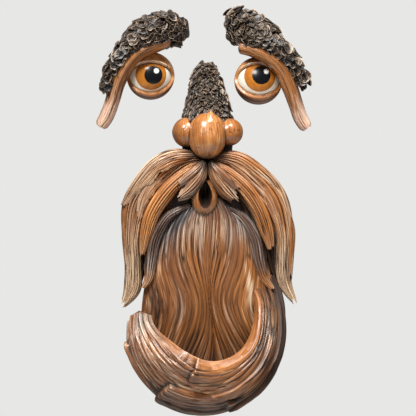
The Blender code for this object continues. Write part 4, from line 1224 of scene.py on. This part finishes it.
def add_flake(skin, point, normal, along, size, long, rng, curled, laid):
    """One flake of bark: a thin curled plate with ridges round it, whose free end stands off the roll."""
    swing = rng.uniform(-0.7, 0.7)
    side = np.cross(normal, along)
    turned = along * math.cos(swing) + side * math.sin(swing)
    along, side = turned, side * math.cos(swing) - along * math.sin(swing)
    tilt = laid * rng.uniform(0.18, 0.50)
    lifted = along * math.cos(tilt) + normal * math.sin(tilt)
    upright = normal * math.cos(tilt) - along * math.sin(tilt)
    turn = np.linspace(0, 2 * math.pi, FLAKE_SEGMENTS, endpoint=False)
    wave = sum(rng.uniform(-0.13, 0.13) * np.cos(k * turn + rng.uniform(0, 6.3)) for k in (1, 2, 3, 5))
    jag = np.array([rng.uniform(-0.09, 0.09) for _ in range(FLAKE_SEGMENTS)])
    reach = size * (1 + wave + jag)
    ring = (np.arange(1, FLAKE_RINGS + 1) / FLAKE_RINGS)[:, None]
    a = np.cos(turn) * reach * ring
    b = np.sin(turn) * reach * ring * long
    phase = rng.uniform(0, 6.3)
    ripple = FLAKE_RIPPLE * np.sin(2 * math.pi * 2.1 * ring + phase + 0.6 * np.sin(turn * 2 + phase))
    lift = curled * size * ring**2 * (1 + 0.5 * np.sin(2 * turn + phase)) + ripple + FLAKE_STAND_OFF
    top = point + a[..., None] * side + b[..., None] * lifted + lift[..., None] * upright
    thick = FLAKE_EDGE_THICKNESS + FLAKE_MIDDLE_THICKNESS * (1 - ring) + 0 * turn
    low = top - thick[..., None] * upright
    centre = point + 0.0008 * upright
    root = point - FLAKE_ROOT_DEPTH * normal
    tone = rng.uniform(0.1, 0.9)
    cool = rng.uniform(0.0, 0.9) ** 2
    brushed = 0.55 + 0.40 * np.sin(turn + phase) + rng.uniform(-0.2, 0.3)
    hollow = unit(0.85 - 0.55 * ring - 1100 * ripple)
    worn = unit(0.02 + 0.9 * brushed * ring**5 + 900 * unit(ripple) * brushed)
    strand = stacked(a / MM, b / MM, 0 * a)
    # The underside of each flake and its root are painted dark, as painted shade under the flake.
    under_paint = np.array([0.75, 0.1, 0.0])
    first = skin.add(centre[None], np.zeros(3), np.array([0.6, 0.1, cool]), tone)[0]
    upper = skin.add(top, strand, stacked(hollow, worn, cool), tone)
    lower = skin.add(low[::-1], strand[::-1], under_paint, tone * 0.5)
    last = skin.add(root[None], np.zeros(3), under_paint, tone)[0]
    skin.grid(np.concatenate([upper, lower]), close_columns=True)
    for i in range(FLAKE_SEGMENTS):
        j = (i + 1) % FLAKE_SEGMENTS
        skin.cap((first, upper[0][j], upper[0][i]))
        skin.cap((last, lower[-1][i], lower[-1][j]))


def flakes_over(skin, lock, part, origin, seed, radius, spacing, long, curled, limits=(-0.95, 0.95)):
    """Overlapping rows of flakes over a roll of bark."""
    rng = random.Random(seed)
    rows = max(3, round(lock["bark_to"] * lock_length(lock, part) / spacing))
    for row in range(rows):
        t = lock["bark_to"] * (row + 0.5) / rows
        half = float(blend(lock["half_width"], t)) * part
        columns = max(2, round(2.7 * half / spacing))
        for column in range(columns):
            q = 2 * (column + 0.5 + 0.25 * (-1) ** row) / columns - 1
            q = q + rng.uniform(-0.5, 0.5) / columns
            if t > 0.16:
                q = min(limits[1], max(limits[0], q))
            shifted = min(0.985, max(0.01, t + rng.uniform(-0.35, 0.35) / rows))
            spot = surface_frame(lock, q, shifted, part, origin)
            size = radius * rng.uniform(0.75, 1.25)
            laid = 1 - 0.6 * float(past(abs(q), 0.6, 0.3))
            length = long * rng.uniform(0.85, 1.2)
            add_flake(skin, *spot, size, length, rng, curled * rng.uniform(0.4, 1.5), laid)


def bark_roll(name, material, lock, seed, rear, part=FEEDER_PART, origin=ORIGIN):
    """The dark roll that carries the flakes."""
    return make_lock(
        name, material, lock, "bark", seed, rear, part, origin, fine=1.6, ragged=0.0, columns=ROLL_COLUMNS
    )


class TREEFACE_OT_nose_bark(bpy.types.Operator):
    """The bridge of the nose, covered in fine shaggy flakes of bark"""

    bl_idname = "treeface.nose_bark"
    bl_label = "Nose bark"

    def execute(self, context):
        settings = context.scene.tree_face_bark
        material = bark_material(settings)
        roll = bark_roll("nose_bridge", material, NOSE_BARK, SEEDS["nose_bridge"], 0.0)
        cut_away(roll, nail_cutter(*FEEDER_HOLE))
        belongs(roll, FEEDER)
        skin = Skin()
        radius = settings.nose_flake_radius
        seed = SEEDS["nose_flakes"]
        flakes_over(skin, NOSE_BARK, FEEDER_PART, ORIGIN, seed, radius, 1.25 * radius, 1.9, 0.36)
        belongs(skin.object("nose_bark_flakes", material, FLAKE_SHARP_ANGLE), FEEDER)
        return {"FINISHED"}


class TREEFACE_OT_brows(bpy.types.Operator):
    """The branch over each eye, with its roll of bark and the flakes on it"""

    bl_idname = "treeface.brows"
    bl_label = "Brows"

    def execute(self, context):
        settings = context.scene.tree_face_bark
        bark = bark_material(settings)
        wood = smooth_wood_material(
            context.scene.tree_face_hair, "painted_branch_wood", 0.22, 0.30, 0.3, worn=(0.76, 0.52, 0.40, 1.0)
        )
        for side, eye in EYES.items():
            origin = (eye["place"][0], 0.0, eye["place"][1])
            branch, roll = BROWS[side]["arm"], BROWS[side]["bark"]
            seed = eye["seed"]
            made = make_lock(
                f"{side}_brow_branch", wood, branch, "branch", seed + SEEDS["branch"], BACKS["branch"],
                EYE_PART, origin, fine=0.35, ragged=0.03, deep=0.35,
            )
            belongs(made, eye["node"])
            rear = BACKS["brow_bark"]
            made = bark_roll(f"{side}_brow_bark", bark, roll, seed + SEEDS["brow_bark"], rear, EYE_PART, origin)
            belongs(made, eye["node"])
            skin = Skin()
            radius = settings.flake_radius
            flakes_over(
                skin, roll, EYE_PART, origin, seed, radius, 1.15 * radius, 1.05, 0.28, eye["flakes_within"]
            )
            belongs(skin.object(f"{side}_brow_flakes", bark, FLAKE_SHARP_ANGLE), eye["node"])
        return {"FINISHED"}


def almond_reach(eye, turn):
    """How far the eye opening reaches from its middle, as an angle in radians, in each direction."""
    across = np.abs(np.cos(turn)) / math.radians(eye["across"])
    up = np.abs(np.sin(turn)) / math.radians(eye["up"])
    return (across**ALMOND_POWER + up**ALMOND_POWER) ** (-1 / ALMOND_POWER)


def eye_centre(eye):
    return np.array([eye["place"][0], -EYEBALL_RADIUS / 2, eye["place"][1]])


def eye_direction(eye, turn, away):
    """The direction from the eyeball's centre at an angle away from the middle of the opening."""
    x = np.sin(away) * np.cos(turn)
    z = np.sin(away) * np.sin(turn)
    y = -np.cos(away)
    roll = math.radians(eye["roll"])
    x, z = x * math.cos(roll) - z * math.sin(roll), x * math.sin(roll) + z * math.cos(roll)
    tip = math.radians(eye["tip"])
    y, z = y * math.cos(tip) + z * math.sin(tip), z * math.cos(tip) - y * math.sin(tip)
    return np.stack([x, y, z], axis=-1)


def back_reach(eye, turn, radius, rear):
    """The angle away at which a sphere of this radius meets the back plane, in each direction."""
    low = np.full(turn.shape, math.radians(60))
    high = np.full(turn.shape, math.radians(179))
    for _ in range(40):
        middle = (low + high) / 2
        beyond = eye_centre(eye)[1] + eye_direction(eye, turn, middle)[..., 1] * radius > rear
        high = np.where(beyond, middle, high)
        low = np.where(beyond, low, middle)
    return (low + high) / 2


class TREEFACE_OT_eyes(bpy.types.Operator):
    """The two eyeballs and the lids round them"""

    bl_idname = "treeface.eyes"
    bl_label = "Eyes"

    def execute(self, context):
        hair = context.scene.tree_face_hair
        colours = colours_of(context.scene.tree_face_eye, EYE_COLOURS)
        for side, eye in EYES.items():
            self.eyeball(side, eye, painted_eye(f"painted_{side}_eye", eye, colours))
            wood = smooth_wood_material(hair, "painted_lids", 0.08, 0.34, 0.15, worn=colours["white"])
            self.lids(side, eye, wood)
        return {"FINISHED"}

    def eyeball(self, side, eye, material):
        turn = np.linspace(0, 2 * math.pi, BALL_SEGMENTS, endpoint=False)[None, :]
        rear = BACKS["eyeball"]
        share = np.linspace(0, 1, BALL_RINGS + 1)[1:, None]
        away = share * back_reach(eye, turn, EYEBALL_RADIUS, rear)
        points = eye_centre(eye) + EYEBALL_RADIUS * eye_direction(eye, turn, away)
        points[-1, :, 1] = rear
        skin = Skin()
        plain_paint = np.zeros(3)
        front = eye_centre(eye) + EYEBALL_RADIUS * eye_direction(eye, np.zeros(1), np.zeros(1))
        first = skin.add(front, plain_paint, plain_paint, 0.5)[0]
        numbers = skin.add(points, plain_paint, plain_paint, 0.5)
        skin.grid(numbers, close_columns=True)
        for i in range(BALL_SEGMENTS):
            skin.cap((first, numbers[0][(i + 1) % BALL_SEGMENTS], numbers[0][i]))
        skin.cap(numbers[-1])
        ball = skin.object(f"{side}_eyeball", material)
        cut_away(ball, nail_cutter(*eye["place"]))
        belongs(ball, eye["node"])

    def lids(self, side, eye, material):
        turn = np.linspace(0, 2 * math.pi, LID_SEGMENTS, endpoint=False)[None, :]
        reach = almond_reach(eye, turn)
        lower = smooth_step(-np.sin(turn) * 1.6)
        upper = smooth_step(np.sin(turn) * 1.6)
        start = np.degrees(reach) - 0.8 - 6.6 * lower
        end = np.degrees(back_reach(eye, turn, EYEBALL_RADIUS + LID_THICKNESS, 0.0))
        # Close rows over the rim and the creases, wider ones behind
        share = np.concatenate([np.linspace(0, 0.42, 46), np.linspace(0.42, 1, 20)[1:]])[:, None]
        away = start + (end - start) * share
        s = away - np.degrees(reach)
        rise = smooth_step((s + 0.8) / 4.6)
        height = 0.00022 + (LID_THICKNESS - 0.0002) * rise
        height = height + 0.00045 * hump(s, 4.6, 2.2) * (0.4 + 0.6 * upper)
        crease = hump(s, 11.5, 1.1) * upper + hump(s, 13.0, 1.2) * lower
        height = height - 0.0004 * crease * smooth_step(np.abs(np.sin(turn)) * 3) * (0.2 + 0.8 * lower)
        fade = past(share, 0.85, 0.15)
        height = height * (1 - fade) + LID_THICKNESS * fade
        out = (EYEBALL_RADIUS + height)[..., None]
        points = eye_centre(eye) + out * eye_direction(eye, turn, np.radians(away))
        points[-1, :, 1] = BACKS["lids"]
        inner_away = start + (end - start) * np.linspace(1, 0, 8)[:, None]
        inner_radius = EYEBALL_RADIUS - LID_INNER_DEPTH
        inner = eye_centre(eye) + inner_radius * eye_direction(eye, turn, np.radians(inner_away))
        inner[:, :, 1] = np.minimum(inner[:, :, 1], BACKS["lids"])

        waterline = past(0.9, s, 1.4) * (s < 1.2)
        seam = hump(s, start - np.degrees(reach), 0.9)
        # Painted shade: a dark line under the upper lid's edge, the lower lid darker downwards, and the far sides
        # towards the trunk.
        dark = crease * (0.15 + 0.45 * lower) + 0.9 * seam * (0.35 + 0.65 * lower)
        dark = dark + 0.9 * hump(s, 0.2, 1.1) * upper
        dark = dark + lower * (0.24 * past(s, 1.0, 1.0) + 0.25 * past(s, 8.0, 8.0))
        dark = dark * (1 - 0.5 * waterline * lower) + 0.4 * past(away, 86, 25)
        # The cream waterline of the lower lid, and a painted highlight along the upper lid's edge.
        worn = 0.35 * waterline * lower + 0.75 * hump(s, 4.0, 1.9) * upper
        across = turn * LID_ROUND_MM
        along = away / RADIAN * LID_OVER_MM
        # The lower lid and the far sides are painted a darker brown, as painted shade.
        tone = 0.92 - 0.62 * lower * past(s, 0.5, 1.5)
        tone = tone + 0.2 * noise(across / 5, along / 5, eye["seed"] + 41) - 0.25 * past(away, 84, 40)
        skin = Skin()
        paint = stacked(unit(dark), unit(worn), 0 * s)
        outer_numbers = skin.add(points, stacked(along, across, 0 * along), paint, unit(tone))
        inner_numbers = skin.add(inner, np.zeros(3), np.array([0.8, 0.0, 0.0]), 0.2)
        skin.grid(np.concatenate([outer_numbers, inner_numbers]), close_rows=True, close_columns=True)
        belongs(skin.object(f"{side}_lids", material), eye["node"])


class TREEFACE_OT_stage(bpy.types.Operator):
    """A pale floor below, soft light from the upper left and the camera in front"""

    bl_idname = "treeface.stage"
    bl_label = "Stage"

    def execute(self, context):
        scene = context.scene
        settings = scene.tree_face_stage
        segments = settings.floor_segments
        turn = np.linspace(0, 2 * math.pi, segments, endpoint=False)
        mesh = bpy.data.meshes.new("floor")
        points = [(FLOOR_RADIUS * math.cos(a), FLOOR_RADIUS * math.sin(a), -settings.floor_below) for a in turn]
        mesh.from_pydata(points, [], [list(range(segments))])
        mesh.materials.append(plain("pale_floor", FLOOR_COLOUR, 0.8))
        linked("floor", mesh)

        world = bpy.data.worlds.new("pale studio")
        world.use_nodes = True
        tree = world.node_tree
        ambient = tree.nodes["Background"]
        ambient.inputs["Color"].default_value = AMBIENT_COLOUR
        ambient.inputs["Strength"].default_value = settings.ambient
        # The pale background that is seen is brighter than the light that it gives.
        seen = add_node(tree, "ShaderNodeBackground", {"Color": SEEN_COLOUR, "Strength": 1.0})
        ray = tree.nodes.new("ShaderNodeLightPath").outputs["Is Camera Ray"]
        both = add_node(tree, "ShaderNodeMixShader", {0: ray, 1: ambient.outputs[0], 2: seen.outputs[0]})
        tree.links.new(both.outputs[0], tree.nodes["World Output"].inputs["Surface"])
        scene.world = world
        for name, spot, size, power, colour, glossy in (
            ("key", (-0.65, -1.35, 1.60), 0.70, settings.key_power, (1.0, 0.98, 0.94), True),
            ("top", (0.40, -0.60, 1.55), 0.6, 0.45 * settings.key_power, (1.0, 0.98, 0.95), True),
            ("fill", (1.5, -1.6, 0.4), 1.2, 0.13 * settings.key_power, (1.0, 0.98, 0.96), False),
            ("back", (0.6, 1.8, 0.9), 1.2, 0.30 * settings.key_power, (1.0, 1.0, 1.0), False),
        ):
            light = bpy.data.lights.new(name, "AREA")
            light.energy = power
            light.size = size
            light.color = colour
            lamp = linked(name, light)
            lamp.location = spot
            lamp.rotation_euler = (Vector(LAMP_AIM) - Vector(spot)).to_track_quat("-Z", "Y").to_euler()
            lamp.visible_camera = False
            lamp.visible_glossy = glossy

        camera = bpy.data.cameras.new("camera")
        camera.lens = camera.sensor_width * settings.camera_distance / settings.frame_width
        camera.clip_start = 0.1
        camera.clip_end = 50.0
        holder = linked("camera", camera)
        holder.location = (0.0009, -0.04 - settings.camera_distance, -0.0508)
        holder.rotation_euler = (math.radians(90), 0.0, 0.0)
        scene.camera = holder
        scene.view_settings.view_transform = "Standard"
        return {"FINISHED"}


class TREEFACE_PT_panel(bpy.types.Panel):
    """Lists the face's pieces and their settings"""

    bl_idname = "TREEFACE_PT_panel"
    bl_label = "Tree face bird feeder"
    bl_space_type = "VIEW_3D"
    bl_region_type = "UI"
    bl_category = "Tree face"

    def draw(self, context):
        for operator in OPERATORS:
            self.layout.operator(operator.bl_idname)
        for name in SETTINGS:
            box = self.layout.box()
            group = getattr(context.scene, name)
            for key in group.__annotations__:
                box.prop(group, key)


OPERATORS = (
    TREEFACE_OT_beard,
    TREEFACE_OT_curl,
    TREEFACE_OT_moustache,
    TREEFACE_OT_nose,
    TREEFACE_OT_nose_bark,
    TREEFACE_OT_brows,
    TREEFACE_OT_eyes,
    TREEFACE_OT_stage,
)
SETTINGS = {
    "tree_face_hair": HairSettings,
    "tree_face_bark": BarkSettings,
    "tree_face_eye": EyeSettings,
    "tree_face_stage": StageSettings,
}


def register():
    for group in SETTINGS.values():
        bpy.utils.register_class(group)
    for name, group in SETTINGS.items():
        setattr(bpy.types.Scene, name, PointerProperty(type=group))
    for made in (*OPERATORS, TREEFACE_PT_panel):
        bpy.utils.register_class(made)


def unregister():
    for made in (TREEFACE_PT_panel, *reversed(OPERATORS)):
        bpy.utils.unregister_class(made)
    for name in SETTINGS:
        delattr(bpy.types.Scene, name)
    for group in reversed(SETTINGS.values()):
        bpy.utils.unregister_class(group)


def main():
    register()
    bpy.ops.treeface.beard()
    bpy.ops.treeface.curl()
    bpy.ops.treeface.moustache()
    bpy.ops.treeface.nose()
    bpy.ops.treeface.nose_bark()
    bpy.ops.treeface.brows()
    bpy.ops.treeface.eyes()
    bpy.ops.treeface.stage()
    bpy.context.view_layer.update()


if __name__ == "__main__":
    main()
